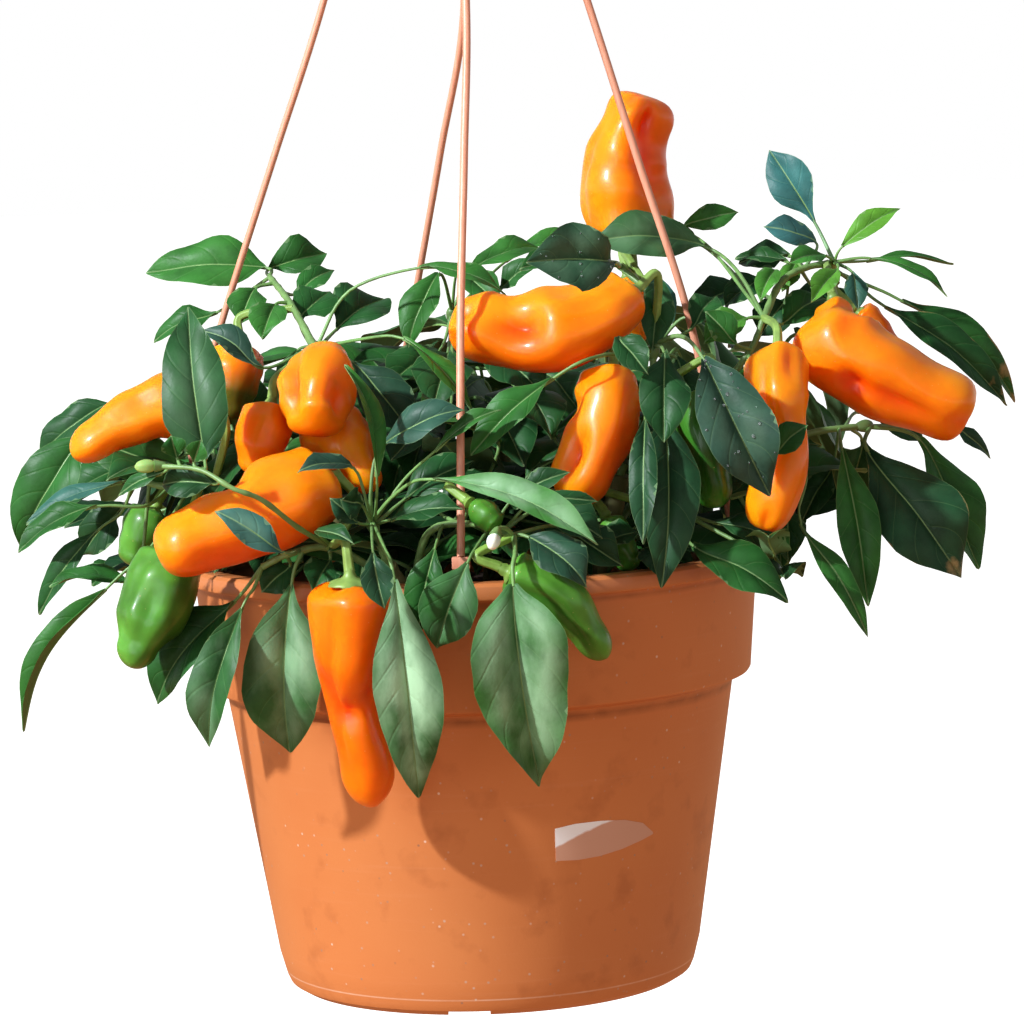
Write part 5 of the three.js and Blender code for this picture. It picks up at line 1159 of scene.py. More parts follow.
                root=(826, 263, 14), via=(858, 286, 2), full=1.3, harm=0.8),
        leaf_at((900, 300, -14), (1022, 400, -20), 14, (15, 40), 0.3,
                root=(818, 265, 16), via=(860, 282, -10), full=1.3, harm=0.95),
        leaf_at((812, 286, 0), (852, 340, -8), 20, (20, 40), 0.1, root=(800, 270, 20)),
        leaf_at((762, 280, -4), (724, 306, -10), 18, (-10, 50), 0.1, root=(782, 284, 28)),
        leaf_at((748, 318, 44), (704, 342, 48), 15, (-10, 45), 0.75, root=(764, 318, 42), full=1.2),
        leaf_at((838, 268, 20), (812, 300, 30), 11, (-10, 30), 0.9, root=(834, 262, 12)),
        leaf_at((826, 256, 16), (790, 262, 26), 11, (-10, 40), 0.6, root=(834, 262, 12)),
        leaf_at((790, 256, -10), (738, 262, -16), 15, (0, 40), 0.1, root=(806, 268, 19)),
        leaf_at((786, 298, -6), (760, 336, -6), 17, (0, 30), 0.05, root=(790, 277, 24)),
        leaf_at((742, 288, -22), (690, 310, -24), 18, (-10, 40), 0.05, root=(770, 300, 34)),
        leaf_at((838, 282, -24), (800, 318, -20), 18, (0, 30), 0.05, root=(834, 262, 12)),
        leaf_at((772, 452, 104), (807, 425, 108), 12, (0, 30), 0.3,
                root=(748, 354, 46), via=(752, 420, 84), over=0),
        leaf_at((776, 270, 26), (760, 300, 44), 10, (-10, 30), 0.7, root=(780, 284, 28)),
        leaf_at((796, 262, 24), (782, 290, 44), 9, (0, 30), 0.8, root=(802, 269, 20)),
    ],
    "right_low": [
        leaf_at((868, 452, 50), (962, 578, 70), 32, (12, 8), 0.02, pale=0.02, full=1.2, harm=0.86),
        leaf_at((918, 438, 36), (977, 570, 50), 21, (30, 10), 0.4, full=1.3),
        leaf_at((945, 426, 14), (992, 457, 8), 8, (20, 30), 0),
        leaf_at((842, 448, 58), (868, 607, 74), 20, (5, 5), 0.35, root=(836, 430, 40), full=0.95),
        leaf_at((800, 522, 70), (871, 636, 84), 11, (20, 30), 0.42,
                root=(800, 436, 46), via=(806, 480, 64)),
        leaf_at((788, 500, 56), (788, 562, 62), 14, (10, 20), 0.1, root=(790, 440, 46)),
        leaf_at((832, 468, 34), (802, 522, 42), 14, (-10, 20), 0.1, root=(836, 430, 40)),
        leaf_at((862, 440, 18), (846, 500, 8), 20, (15, 20), 0.1, root=(850, 428, 37)),
        leaf_at((750, 480, 30), (752, 552, 44), 20, (10, 20), 0.1, root=(760, 455, 46)),
        leaf_at((858, 412, 4), (924, 440, -10), 22, (20, 45), 0.1, root=(840, 429, 38)),
    ],
    "right_front": [
        leaf_at((692, 545, 102), (791, 599, 112), 21, (10, 38), 0.25),
        leaf_at((712, 522, 74), (788, 548, 82), 16, (10, 45), 0.1),
        leaf_at((700, 496, 60), (744, 470, 52), 16, (10, 45), 0.15),
        leaf_at((640, 530, 92), (594, 550, 98), 13, (0, 45), 0.1),
    ],
}
HIDDEN_SHOOTS = {
    "back_1": dict(trunk="back", start=2.6, turn=190, reach=112, rise=36, count=6),
    "back_2": dict(trunk="back", start=2.2, turn=156, reach=118, rise=50, count=6),
    "back_3": dict(trunk="back", start=1.8, turn=122, reach=122, rise=62, count=6),
    "back_4": dict(trunk="back", start=1.5, turn=232, reach=124, rise=60, count=6),
    "back_left": dict(trunk="left", start=1.5, turn=222, reach=84, rise=42, count=6),
    "back_right": dict(trunk="right", start=1.9, turn=132, reach=104, rise=50, count=6),
}
LEAF_GREENS = [
    (-0.8, "#3a6f70"),
    (-0.45, "#2f5f50"),
    (-0.1, "#264638"),
    (0.05, "#194221"),
    (0.3, "#235921"),
    (0.6, "#38762a"),
    (1.0, "#5f9c30"),
]
BLADE = {"fold": 16.0, "bow": 0.09, "wave": 0.05, "thickness": 0.45, "full": 1.1}
BLADE_GRID = {"row": 2.6, "column": 3.6}
BLADE_RELIEF = {"groove": 0.35, "quilt": 0.45, "rib": 0.55}
OUTLINE = (0.05, 0.25, 0.66, 0.94, 1.0, 0.94, 0.74, 0.4, 0.03)
VEIN_SPACING = 12.5
STALK_GREEN = np.array(paint("#7ba05c"))
CROWN = {"length": 7.0, "radius": 3.3}
# The cap on a fruit: height above the fruit's top, own radius, share of the girth, lobes
CAP_RINGS = [
    (6.0, 1.9, 0, 0), (4.0, 2.15, 0, 0), (2.4, 2.9, 0, 0), (1.3, 0, 0.13, 0.3),
    (0.4, 0, 0.2, 0.7), (-0.5, 0, 0.255, 1), (-1.0, 0, 0.25, 1), (-0.4, 0, 0.15, 0.5),
]
STEM_RADII = {"main": (2.4, 1.9), "thin": (1.6, 1.3)}
STEM_SHOWN = 0.7
BALL = {"radius": 2.5, "spacing": 6.0, "stalk": 1.6}
LIFTS = (0, 4, -4, 8, -8, 12, -12, 16, -16, 20, -20)
TRIES = 40
HIDDEN = {"top": 108, "side": 175, "back": 212}
HIDDEN_LEAF = {
    "swing": (15, 110), "length": (50, 78), "climb": (4, 36), "droop": (-10, 75),
    "stalk": (20, 34), "rise": (45, 70), "shape": (0.38, 0.5),
}
LIP_RADIUS, LIP_HEIGHT, INNER_RADIUS = 130.0, 7.8, 118.4


growth = Seeded(20371)


class Space:
    """Balls that keep a place for all that stands, so that no leaf cuts another. Balls that
    are further than the margin from a leaf's own don't matter to it."""

    margin = 60.0

    def __init__(self):
        self.centres, self.radii, self.owners = [], [], []
        self.kept = None

    def claim(self, centre, radius, owner):
        self.centres.append(centre)
        self.radii.append(radius)
        self.owners.append(owner)
        self.kept = None

    def claim_all(self, balls):
        for centre, radius in zip(*balls):
            self.claim(centre, radius, "leaf")

    def room(self, centres, radii, owner):
        """Free width between a leaf's balls and the pot, the soil and all that stands."""
        if self.kept is None:
            self.kept = np.array(self.centres), np.array(self.radii), np.array(self.owners)
        spots, widths, owners = self.kept
        out = np.hypot(centres[:, 0], centres[:, 1])
        rise = centres[:, 2] - LIP_HEIGHT
        above = np.hypot(rise, np.maximum(np.maximum(out - LIP_RADIUS, INNER_RADIUS - out), 0))
        within = np.minimum(INNER_RADIUS - out, centres[:, 2] - SOIL_TOP - SOIL_MOUND)
        level = np.where(out > INNER_RADIUS + 4, out - LIP_RADIUS, within)
        at_pot_room = np.where(rise > 0, above, level) - radii
        low, high = centres.min(axis=0) - self.margin, centres.max(axis=0) + self.margin
        close = (owners != owner) & np.all((spots > low) & (spots < high), axis=1)
        apart = np.linalg.norm(centres[:, None] - spots[close][None], axis=2)
        gaps = apart - radii[:, None] - widths[close][None]
        return min(at_pot_room.min(), gaps.min(initial=self.margin))


space = Space()


def nearest_on_stems(lines, point):
    best, least = None, math.inf
    for line in lines:
        for step in range(41):
            spot = on_line(line, step / 40 * (len(line) - 1))
            distance = np.linalg.norm(spot - point)
            if distance < least:
                best, least = spot, distance
    return best


def leaf_line(leaf, lift, tip_lift):
    """From the leaf's root on the stem, over its belly, to its tip, and the way it faces."""
    base = nearer(leaf["base"], lift)
    tip = nearer(leaf["tip"], tip_lift)
    turn, rise = (math.radians(angle) for angle in leaf["face"])
    face = np.array(
        (math.sin(turn) * math.cos(rise), -math.cos(turn) * math.cos(rise), math.sin(rise))
    )
    bow = np.linalg.norm(base - tip) * BLADE["bow"]
    belly = (base + tip) * 0.5 + face * bow
    stalk = [leaf["origin"], base]
    if leaf.get("via") is not None:
        stalk.insert(1, nearer(leaf["via"], lift / 2))
    return [*stalk, belly, tip], face, len(stalk) - 1


def half_width(leaf, share):
    return leaf["width"] / 2 * math.sin(math.pi * share**0.84) ** 0.78 * (1 - 0.1 * share)


def blade_frame(shape, share):
    line, face, blade_from = shape
    where = blade_from + share * 2
    way = heading(line, where)
    normal = unit(face - way * np.dot(face, way))
    return on_line(line, where), way, normal, np.cross(way, normal)


def wave_of(leaf, share, side):
    return leaf["width"] * BLADE["wave"] * math.sin(math.pi * 3 * share + (0 if side > 0 else 1.3))


def leaf_balls(leaf, shape):
    """Balls along the blade and its stalk, which keep a place for the leaf."""
    line, _, blade_from = shape
    rows = max(math.floor(np.linalg.norm(line[-1] - line[blade_from]) / BALL["spacing"] + 0.5), 3)
    fold = math.radians(leaf.get("fold", BLADE["fold"]))
    centres = []
    for row in range(rows):
        share = 0.06 + 0.88 * row / (rows - 1)
        centre, _, normal, side_way = blade_frame(shape, share)
        reach = half_width(leaf, share)
        steps = max(math.floor(reach / BALL["spacing"] + 0.5), 1)
        centres.append(centre)
        for side in (-1, 1):
            lift = reach * math.sin(fold) + wave_of(leaf, share, side)
            edge = centre + side_way * (side * reach * math.cos(fold)) + normal * lift
            for step in range(1, steps + 1):
                centres.append(centre + (edge - centre) * (0.9 * step / steps))
    radii = [BALL["radius"]] * len(centres) + [BALL["stalk"]] * 4
    centres += [on_line(line, blade_from * share) for share in (0.4, 0.6, 0.8, 0.98)]
    return np.array(centres), np.array(radii)


def place_leaf(leaf, owner):
    """The leaf's line at the first lift towards the viewer that clears all that stands."""
    best = None
    for lift in LIFTS:
        for tip_lift in (lift, lift * 1.8):
            shape = leaf_line(leaf, lift, tip_lift)
            balls = leaf_balls(leaf, shape)
            free = space.room(*balls, owner)
            if best is None or free > best[2]:
                best = (shape, balls, free)
            if free >= 0:
                break
        if best[2] >= 0:
            break
    return best[0], best[1]


def leaf_green(tone):
    """The leaf's colour, from bluish and dark to young and bright."""
    tone = min(max(tone, LEAF_GREENS[0][0]), LEAF_GREENS[-1][0])
    for (low, dark), (high, light) in zip(LEAF_GREENS, LEAF_GREENS[1:]):
        if tone <= high:
            share = (tone - low) / (high - low)
            return np.array(paint(dark)) * (1 - share) + np.array(paint(light)) * share
    return np.array(paint(LEAF_GREENS[-1][1]))


dew = []
chance = Seeded(77)


def luck():
    return chance.draw(0, 1)


def grow_leaf(heap, leaf, shape):
    """The stalk, the midrib and the quilted blade of one leaf."""
    line, _, blade_from = shape
    length = np.linalg.norm(line[-1] - line[blade_from])
    width = leaf["width"] * leaf.get("full", BLADE["full"])
    fold = math.radians(leaf.get("fold", BLADE["fold"]) * (0.6 + 0.9 * luck()))
    twist = math.radians((luck() - 0.5) * 34)
    rows = int(np.clip(length / BLADE_GRID["row"], 9, 34))
    half = int(np.clip(width / BLADE_GRID["column"], 3, 8))
    veins = max(round(length / VEIN_SPACING), 4)
    steps = np.linspace(-1, 1, 2 * half + 1)
    across = np.sign(steps) * np.abs(steps) ** 1.25
    curl = (luck() - 0.25) * 0.12 * length
    phase, swing = luck() * 9, (luck() - 0.5) * 0.05 * length
    lean = leaf.get("lean", 1.0) * (0.86 + 0.28 * luck())
    tint = leaf_green(leaf.get("tone", luck() * 0.4))
    tint = tint * (0.9 + 0.2 * luck())
    rings, rib, mid, edge, along, vein = [], [], [0.0], [0.0], [0.0], [0.0]
    for row in range(rows):
        t = row / (rows - 1)
        share = 0.012 + 0.975 * (0.6 * t + 0.4 * (0.5 - 0.5 * math.cos(math.pi * t)))
        centre, _, normal, side_way = blade_frame(shape, share)
        turn = twist * (share - 0.35)
        normal, side_way = (
            normal * math.cos(turn) - side_way * math.sin(turn),
            side_way * math.cos(turn) + normal * math.sin(turn),
        )
        outline = on_line(OUTLINE, share**lean * (len(OUTLINE) - 1))
        outline *= 1 - leaf.get("taper", 0.0) * share**2
        dip = curl * max((share - 0.62) / 0.38, 0) ** 2
        centre = centre - normal * dip + side_way * swing * math.sin(math.pi * share)
        span = np.abs(across)
        left_ruffle = 0.04 * math.sin(13 * share + phase)
        left_ruffle += 0.01 * math.sin(39 * share + 2 * phase)
        right_ruffle = 0.04 * math.sin(11 * share + 3 * phase) + 0.01 * math.sin(43 * share)
        full_reach = width / 2 * outline
        reach = full_reach * (1 + np.where(across < 0, left_ruffle, right_ruffle))
        order = (share - 0.5 * width / length * span**1.25) * veins
        order = order + np.where(across < 0, 0.0, 0.45)
        quilt = np.abs(np.sin(math.pi * order)) ** 0.8 - 0.6
        cover = np.sin(math.pi * np.clip(span * 1.04, 0, 1)) ** 0.7
        wave = np.where(
            across < 0,
            wave_of(leaf, share, -1) + width * 0.045 * math.sin(12 * share + phase),
            wave_of(leaf, share, 1) + width * 0.045 * math.sin(13 * share + 2 * phase),
        )
        lift = reach * math.sin(fold) * span + wave * span**1.8
        lift += reach * 0.17 * np.sin(math.pi * span**0.9) * (1 - 0.4 * share)
        raised = min(width * 0.016, BLADE_RELIEF["quilt"]) * min(1, full_reach * 3 / width)
        lift += raised * quilt * cover
        lift -= BLADE_RELIEF["groove"] * (span < 0.02)
        top = (
            centre
            + np.outer(across * reach * math.cos(fold * 0.8), side_way)
            + np.outer(lift, normal)
        )
        under = top[1:-1] - normal * BLADE["thickness"]
        rings.append(np.concatenate((top, under[::-1])))
        rib.append(centre - normal * BLADE_RELIEF["rib"])
        distances = np.abs(across) * reach
        mid += [*distances, *distances[1:-1][::-1]]
        edge += [*(reach - distances), *(reach - distances)[1:-1][::-1]]
        along += [share] * len(rings[-1])
        vein += [*order, *order[1:-1][::-1]]
    for _ in range(leaf.get("drops", 0)):
        row, column = 1 + int(luck() * (rows - 3)), 1 + int(luck() * (len(across) - 2))
        drop_radius = 0.35 + 0.6 * luck() ** 2
        dew.append((rings[row][column], blade_frame(shape, 0.5)[2], drop_radius))
    upper = len(across) - 1
    start, before, last = (rings[row].mean(axis=0) for row in (0, -2, -1))
    luck()  # a spare draw, so that those after it stay as they are
    heap.skin(
        start,
        rings,
        last + (last - before) * 0.5,
        lambda i: 1 if i < upper else 2,
        tint=tint,
        mid=np.array([*mid, 0.0]),
        edge=np.array([*edge, 0.0]),
        along=np.array([*along, 1.0]),
        vein=np.array([*vein, 0.0]),
        harm=leaf.get("harm", 0.0),
        pale=leaf.get("pale", 0.03 * luck()),
    )
    stalk = [on_line(line, (blade_from + 0.06) * i / 6) for i in range(7)]
    stout = 0.6 + width * 0.013
    pale = STALK_GREEN * 0.75 + tint * 0.35
    heap.sweep(stalk, lambda t: stout * (1.2 - 0.4 * t), 8, 14, flat=0.85, tint=pale)
    heap.sweep(
        rib[: max(int(len(rib) * 0.88), 3)],
        lambda t: stout * 0.55 * (1 - t) ** 0.8 + 0.12,
        6,
        max(len(rib) - 2, 4),
        tint=STALK_GREEN,
    )


# Stem skin: waxy, pale green, streaked along its length
stalk_skin, tree, shader = new_finish("waxy_stem_skin", Roughness=0.42, IOR=1.45)
place = add_node(tree, "TexCoord", out="Object")
tint = add_node(tree, "Attribute", out="Color", attribute_name="tint")
streaks = add_node(tree, "TexNoise", {"Vector": place, "Scale": 1 / 0.006, "Detail": 3.0})
streaks = add_node(tree, "MapRange", {"Value": streaks, 1: 0.3, 2: 0.7, 3: 0.72, 4: 1.15})
shown = add_node(tree, "VectorMath", {0: tint, "Scale": streaks}, operation="SCALE")
wire(tree, shader, shown)

# Leaf skin: the upper side has a waxy gloss over a mottled green, with dust and a painted
# sheen in pale patches; side veins and margin are paler. The veins' places come with the
# leaf's mesh, in shares of their spacing and in mm.
LEAF_SIDES = [
    dict(name="leaf_upper_side", roughness=0.44, fade=0.0),
    dict(name="leaf_under_side", roughness=0.65, fade=0.4),
]
LEAF_FIELDS = ("mid", "edge", "along", "vein", "pale", "harm")
leaf_finishes = [stalk_skin]
for side in LEAF_SIDES:
    skin, tree, shader = new_finish(
        side["name"], Roughness=side["roughness"], IOR=1.45, Specular_IOR_Level=0.2
    )
    place = add_node(tree, "TexCoord", out="Object")
    tint = add_node(tree, "Attribute", out="Color", attribute_name="tint")
    mid, edge, along, vein, pale, harm = (
        add_node(tree, "Attribute", out="Fac", attribute_name=field) for field in LEAF_FIELDS
    )
    mottle = add_node(tree, "TexNoise", {"Vector": place, "Scale": 1 / 0.011, "Detail": 4.0})
    mottle = add_node(tree, "MapRange", {"Value": mottle, 1: 0.28, 2: 0.74, 3: 0.6, 4: 1.25})
    shown = add_node(tree, "VectorMath", {0: tint, "Scale": mottle}, operation="SCALE")
    # Between two side veins a painted sheen makes the green greyer
    between = add_node(tree, "Math", {0: vein, 1: math.pi}, operation="MULTIPLY")
    for operation in ("SINE", "ABSOLUTE"):
        between = add_node(tree, "Math", {0: between}, operation=operation)
    sheen_and_wax = add_node(tree, "MapRange", {"Value": between, 1: 0.3, 2: 1.0, 3: 0.0, 4: 0.015})
    cloud = add_node(tree, "TexNoise", {"Vector": place, "Scale": 1 / 0.016, "Detail": 2.0})
    cloud = add_node(tree, "MapRange", {"Value": cloud, 1: 0.4, 2: 0.62, 3: 0.2, 4: 1.0})
    sheen_and_wax = add_node(tree, "Math", {0: sheen_and_wax, 1: cloud}, operation="MULTIPLY")
    # Dust and a painted sheen lie in the middle of the blade, in soft patches
    dust_and_sheen_place = add_node(tree, "Mapping", {"Vector": place, "Scale": (60, 60, 34)})
    dust_and_sheen = add_node(tree, "TexNoise", {"Vector": dust_and_sheen_place, "Scale": 1.0, "Detail": 6.0})
    dust_and_sheen = add_node(tree, "MapRange", {"Value": dust_and_sheen, 1: 0.36, 2: 0.62, 3: 0.12, 4: 1.0})
    inward = add_node(tree, "MapRange", {"Value": edge, 1: 0.5, 2: 9.0, 3: 0.35, 4: 1.0})
    for part in (inward, pale):
        dust_and_sheen = add_node(tree, "Math", {0: dust_and_sheen, 1: part}, operation="MULTIPLY")
    sheen_and_wax = add_node(tree, "Math", {0: dust_and_sheen, 1: sheen_and_wax}, operation="ADD")
    # Side veins, midrib and margin
    veins = add_node(tree, "MapRange", {"Value": between, 1: 0.01, 2: 0.08, 3: 0.13, 4: 0.0})
    rib = add_node(tree, "MapRange", {"Value": mid, 1: 0.15, 2: 0.45, 3: 0.55, 4: 0.0})
    margin = add_node(tree, "MapRange", {"Value": edge, 1: 0.1, 2: 0.4, 3: 0.14, 4: 0.0})
    # A few leaves are scorched brown near the tip and at the edge
    scorch = add_node(tree, "TexNoise", {"Vector": place, "Scale": 1 / 0.012, "Detail": 5.0})
    rim = add_node(tree, "MapRange", {"Value": edge, 1: 0.0, 2: 4.0, 3: 1.0, 4: 0.0})
    weak = add_node(tree, "Math", {0: rim, 1: along}, operation="MAXIMUM")
    for part in (harm, weak):
        scorch = add_node(tree, "Math", {0: scorch, 1: part}, operation="MULTIPLY")
    scorch = add_node(tree, "MapRange", {"Value": scorch, 1: 0.4, 2: 0.48, 3: 0.0, 4: 0.9})
    # The pale grey-green layer is dust with a painted sheen.
    for share, hue in (
        (side["fade"], "#7d9c6c"),
        (sheen_and_wax, "#a6cba2"),
        (veins, "#7fa568"),
        (rib, "#9dba84"),
        (margin, "#9dba76"),
        (scorch, "#9a8152"),
    ):
        layer = {0: share, 6: shown, 7: paint(hue)}
        shown = add_node(tree, "Mix", layer, 2, data_type="RGBA")
    fine = {"Vector": place, "Scale": 1 / 0.0022}
    fine = add_node(tree, "TexVoronoi", fine, feature="DISTANCE_TO_EDGE")
    fine = add_node(tree, "Bump", {"Strength": 0.25, "Distance": 0.0003, "Height": fine})
    groove = add_node(tree, "MapRange", {"Value": between, 1: 0.0, 2: 0.3, 3: 0.0, 4: 1.0})
    groove = {"Strength": 0.4, "Distance": 0.00028, "Height": groove, "Normal": fine}
    wire(tree, shader, shown, add_node(tree, "Bump", groove))
    leaf_finishes.append(skin)


def facing(turn):
    angle = math.radians(turn)
    return np.array((math.sin(angle), -math.cos(angle), 0.0))


def on_crown(line, share):
    """The swollen end of a shoot's first stem, which its leaves leave in turn."""
    return line[-1] - heading(line, len(line) - 1) * share * CROWN["length"] * 0.7


def plan_hidden(plan):
    """A stem at the back leans out, arches and droops; its leaves turn by chance."""
    out = facing(plan["turn"])
    origin = on_line(trunk_lines[plan["trunk"]], plan["start"])
    reach, rise = plan["reach"], plan["rise"]
    spots = [(0.32, rise * 0.55), (0.66, rise), (1, rise * 0.9)]
    stem = [origin + out * reach * share + UP * level for share, level in spots]
    whole = [origin, *stem]

    def leaf_try(i):
        share = 0.3 + 0.7 * (i + 1) / plan["count"]
        start = on_line(whole, share * 3)
        swing = (1 if i % 2 else -1) * growth.draw(*HIDDEN_LEAF["swing"])
        spin = plan["turn"] + swing * (1.2 - 0.8 * share)
        way = facing(spin)
        length = growth.draw(*HIDDEN_LEAF["length"])
        climb = growth.draw(*HIDDEN_LEAF["climb"]) * (1 if i % 3 else 0.3)
        droop = math.radians(growth.draw(*HIDDEN_LEAF["droop"]))
        base = start + way * growth.draw(*HIDDEN_LEAF["stalk"]) + UP * climb
        tip = base + way * length * math.cos(droop) - UP * length * math.sin(droop)
        face = (spin, growth.draw(*HIDDEN_LEAF["rise"]))
        width = length * growth.draw(*HIDDEN_LEAF["shape"])
        return {"origin": start, "base": base, "tip": tip, "width": width, "face": face}

    return {**plan, "stems": [stem], "leaves": [], "leaf_try": leaf_try}


def is_hidden(point):
    across, depth, level = point
    return level < HIDDEN["top"] and abs(across) < HIDDEN["side"] and depth < HIDDEN["back"]


shoots = {
    name: {
        **plan,
        "stems": [[at(*point) for point in stem] for stem in plan["stems"]],
        "leaves": LEAVES[name],
    }
    for name, plan in SHOOTS.items()
}
shoots.update({name: plan_hidden(plan) for name, plan in HIDDEN_SHOOTS.items()})

# Legs, fruit and stems have their places first
for side in STRAND_TURNS:
    line = leg_line(side)
    for step in range(1 + math.floor((len(line) - 2) / 0.04 + 1e-9)):
        space.claim(on_line(line, 1 + 0.04 * step), LEG_RADIUS, side)
for name, fruit in FRUITS.items():
    for step in range(9):
        share = 0.06 + 0.11 * step
        if share < 0.95:
            girth = blend(GIRTH_STATIONS, fruit["girths"], share)
            space.claim(fruit_frame(fruit, share)[0], girth / 2 * 1.05, name)
for name, shoot in shoots.items():
    origin = on_line(trunk_lines[shoot["trunk"]], shoot["start"])
    shoot["lines"] = [[origin, *shoot["stems"][0]], *shoot["stems"][1:]]
    for index, line in enumerate(shoot["lines"]):
        radius = STEM_RADII["thin" if shoot.get("thin") == index else "main"][0]
        for step in range(1 + math.floor((len(line) - 1) / 0.08 + 1e-9)):
            space.claim(on_line(line, 0.08 * step), radius, f"{name} stem")


def grow_fruit_stalk(heap, fruit, origin):
    """A ridged stalk that widens into the lobed green cap on the fruit's shoulder."""
    centre, way, front, side = fruit_frame(fruit, 0)
    bend = at(*fruit["via"]) if "via" in fruit else centre - way * 15
    line = [origin, bend, centre - way * 4.5]
    girth = fruit["girths"][0]
    tint = np.array(paint("#7fa246" if fruit.get("green") else "#86a552"))
    heap.sweep(line, lambda t: 1.75 + 0.45 * t**3, 20, 22, ridges=0.11, tint=tint)
    angles = np.arange(36) / 36 * 2 * math.pi
    lobes = 1 + 0.13 * np.cos(6 * angles) ** 3
    rings = []
    for above, radius, of_girth, lobed in CAP_RINGS:
        reach = (radius + girth * of_girth) * (1 + (lobes - 1) * lobed)
        rings.append(
            centre
            - way * above
            + np.outer(reach * np.cos(angles), front)
            + np.outer(reach * np.sin(angles), side)
        )
    heap.skin(centre - way * 6, rings, centre + way * 0.2, tint=tint * 0.9)
    return line


def grow_bud_stalk(heap, bud, origin):
    way = unit(bud["tip"] - bud["base"])
    neck = bud["base"] - way * 3
    middle = (origin + neck) / 2 + UP * np.linalg.norm(origin - neck) * 0.12
    heap.sweep([origin, middle, neck], lambda t: 0.95, 8, 18, tint=STALK_GREEN)
    cup = [neck - way * 0.5, bud["base"] + way * 1.6]
    heap.sweep(cup, lambda t: 1.0 + 1.7 * t**0.7, 20, 8, ridges=0.06, tint=STALK_GREEN * 0.8)


heaps = {}
for name, shoot in shoots.items():
    heap = heaps[name] = Heap()
    own = f"{name} stem"
    for index, line in enumerate(shoot["lines"]):
        thick, slim = STEM_RADII["thin" if shoot.get("thin") == index else "main"]
        phase = chance.draw(0, 6)
        heap.sweep(
            line,
            lambda t: STEM_SHOWN
            * (thick + (slim - thick) * t + 0.3 * math.sin(t * 21 + phase) ** 6),
            12,
            16 * len(line),
            tint=STALK_GREEN * 0.85,
        )
    loose = [leaf for leaf in shoot["leaves"] if "root" not in leaf]
    for index, leaf in enumerate(loose):
        leaf["root"] = on_crown(shoot["lines"][0], index / len(loose))
    if len(loose) > 2:
        line = shoot["lines"][0]
        way = heading(line, len(line) - 1) * CROWN["length"]
        heap.sweep(
            [line[-1] - way, line[-1] + way * 0.15],
            lambda t: CROWN["radius"] * (0.4 + 0.45 * math.sin(math.pi * t**1.2) ** 0.7),
            14,
            14,
            tint=STALK_GREEN * 0.7,
        )
    for fruit in FRUITS.values():
        if fruit["shoot"] == name:
            spot = at(*fruit["root"]) if "root" in fruit else fruit["line"][0]
            line = grow_fruit_stalk(heap, fruit, nearest_on_stems(shoot["lines"], spot))
            for where in (0.5, 1, 1.5):
                space.claim(on_line(line, where), 2, own)
    for bud in BUDS.values():
        if bud["shoot"] == name:
            grow_bud_stalk(heap, bud, nearest_on_stems(shoot["lines"], bud["base"]))
    for leaf in shoot["leaves"]:
        leaf["origin"] = nearest_on_stems(shoot["lines"], leaf["root"])
        shape, balls = place_leaf(leaf, own)
        space.claim_all(balls)
        if "over" in leaf:
            shape = leaf_line(leaf, leaf["over"], leaf["over"])
        grow_leaf(heap, leaf, shape)
    for number in range(shoot.get("count", 0)):
        for attempt in range(TRIES):
            leaf = shoot["leaf_try"](number)
            shape = leaf_line(leaf, 0, 0)
            balls = leaf_balls(leaf, shape)
            if is_hidden(leaf["tip"]) and is_hidden(leaf["base"]) and space.room(*balls, own) > 0:
                space.claim_all(balls)
                grow_leaf(heap, leaf, shape)
                break


def in_picture(point):
    """Where a place shows in the picture."""
    sight = point - EYE
    scale = FOCAL / np.dot(sight, forward)
    half = PICTURE / 2
    across = half + np.dot(sight, picture_right) * scale
    return across, half - np.dot(sight, picture_up) * scale


# Small inner leaves fill the bush, in front and at the back, wherever they clear the others.
# They keep out of the gaps that show in the photograph, at depths beyond each gap's last value.
INNER = {"tries": 3200, "least": -1.8, "low": 2, "high": 98, "stalk": 62}
INNER_WIDE, INNER_DEEP = (-150, 135), (-125, 98)
INNER_LEAF = {
    "turn": (-75, 75), "length": (34, 64), "droop": (-25, 55), "rise": (25, 70),
    "shape": (0.4, 0.52), "tone": (0, 0.42),
}
REAR_DEPTH = -62
SIGHT_GAPS = [
    (592, 628, 462, 512, -200),
    (98, 185, 486, 575, 20),
    (792, 960, 520, 590, -200),
]
BUSH = (48, 955, 338, 585)


def shows_in(frame_of_picture, spot):
    left, right, high, low = frame_of_picture
    return left < spot[0] < right and high < spot[1] < low


def spots_along(lines):
    """Forty-one places along each line, where an inner leaf can start."""
    return np.array([on_line(line, (len(line) - 1) * i / 40) for line in lines for i in range(41)])


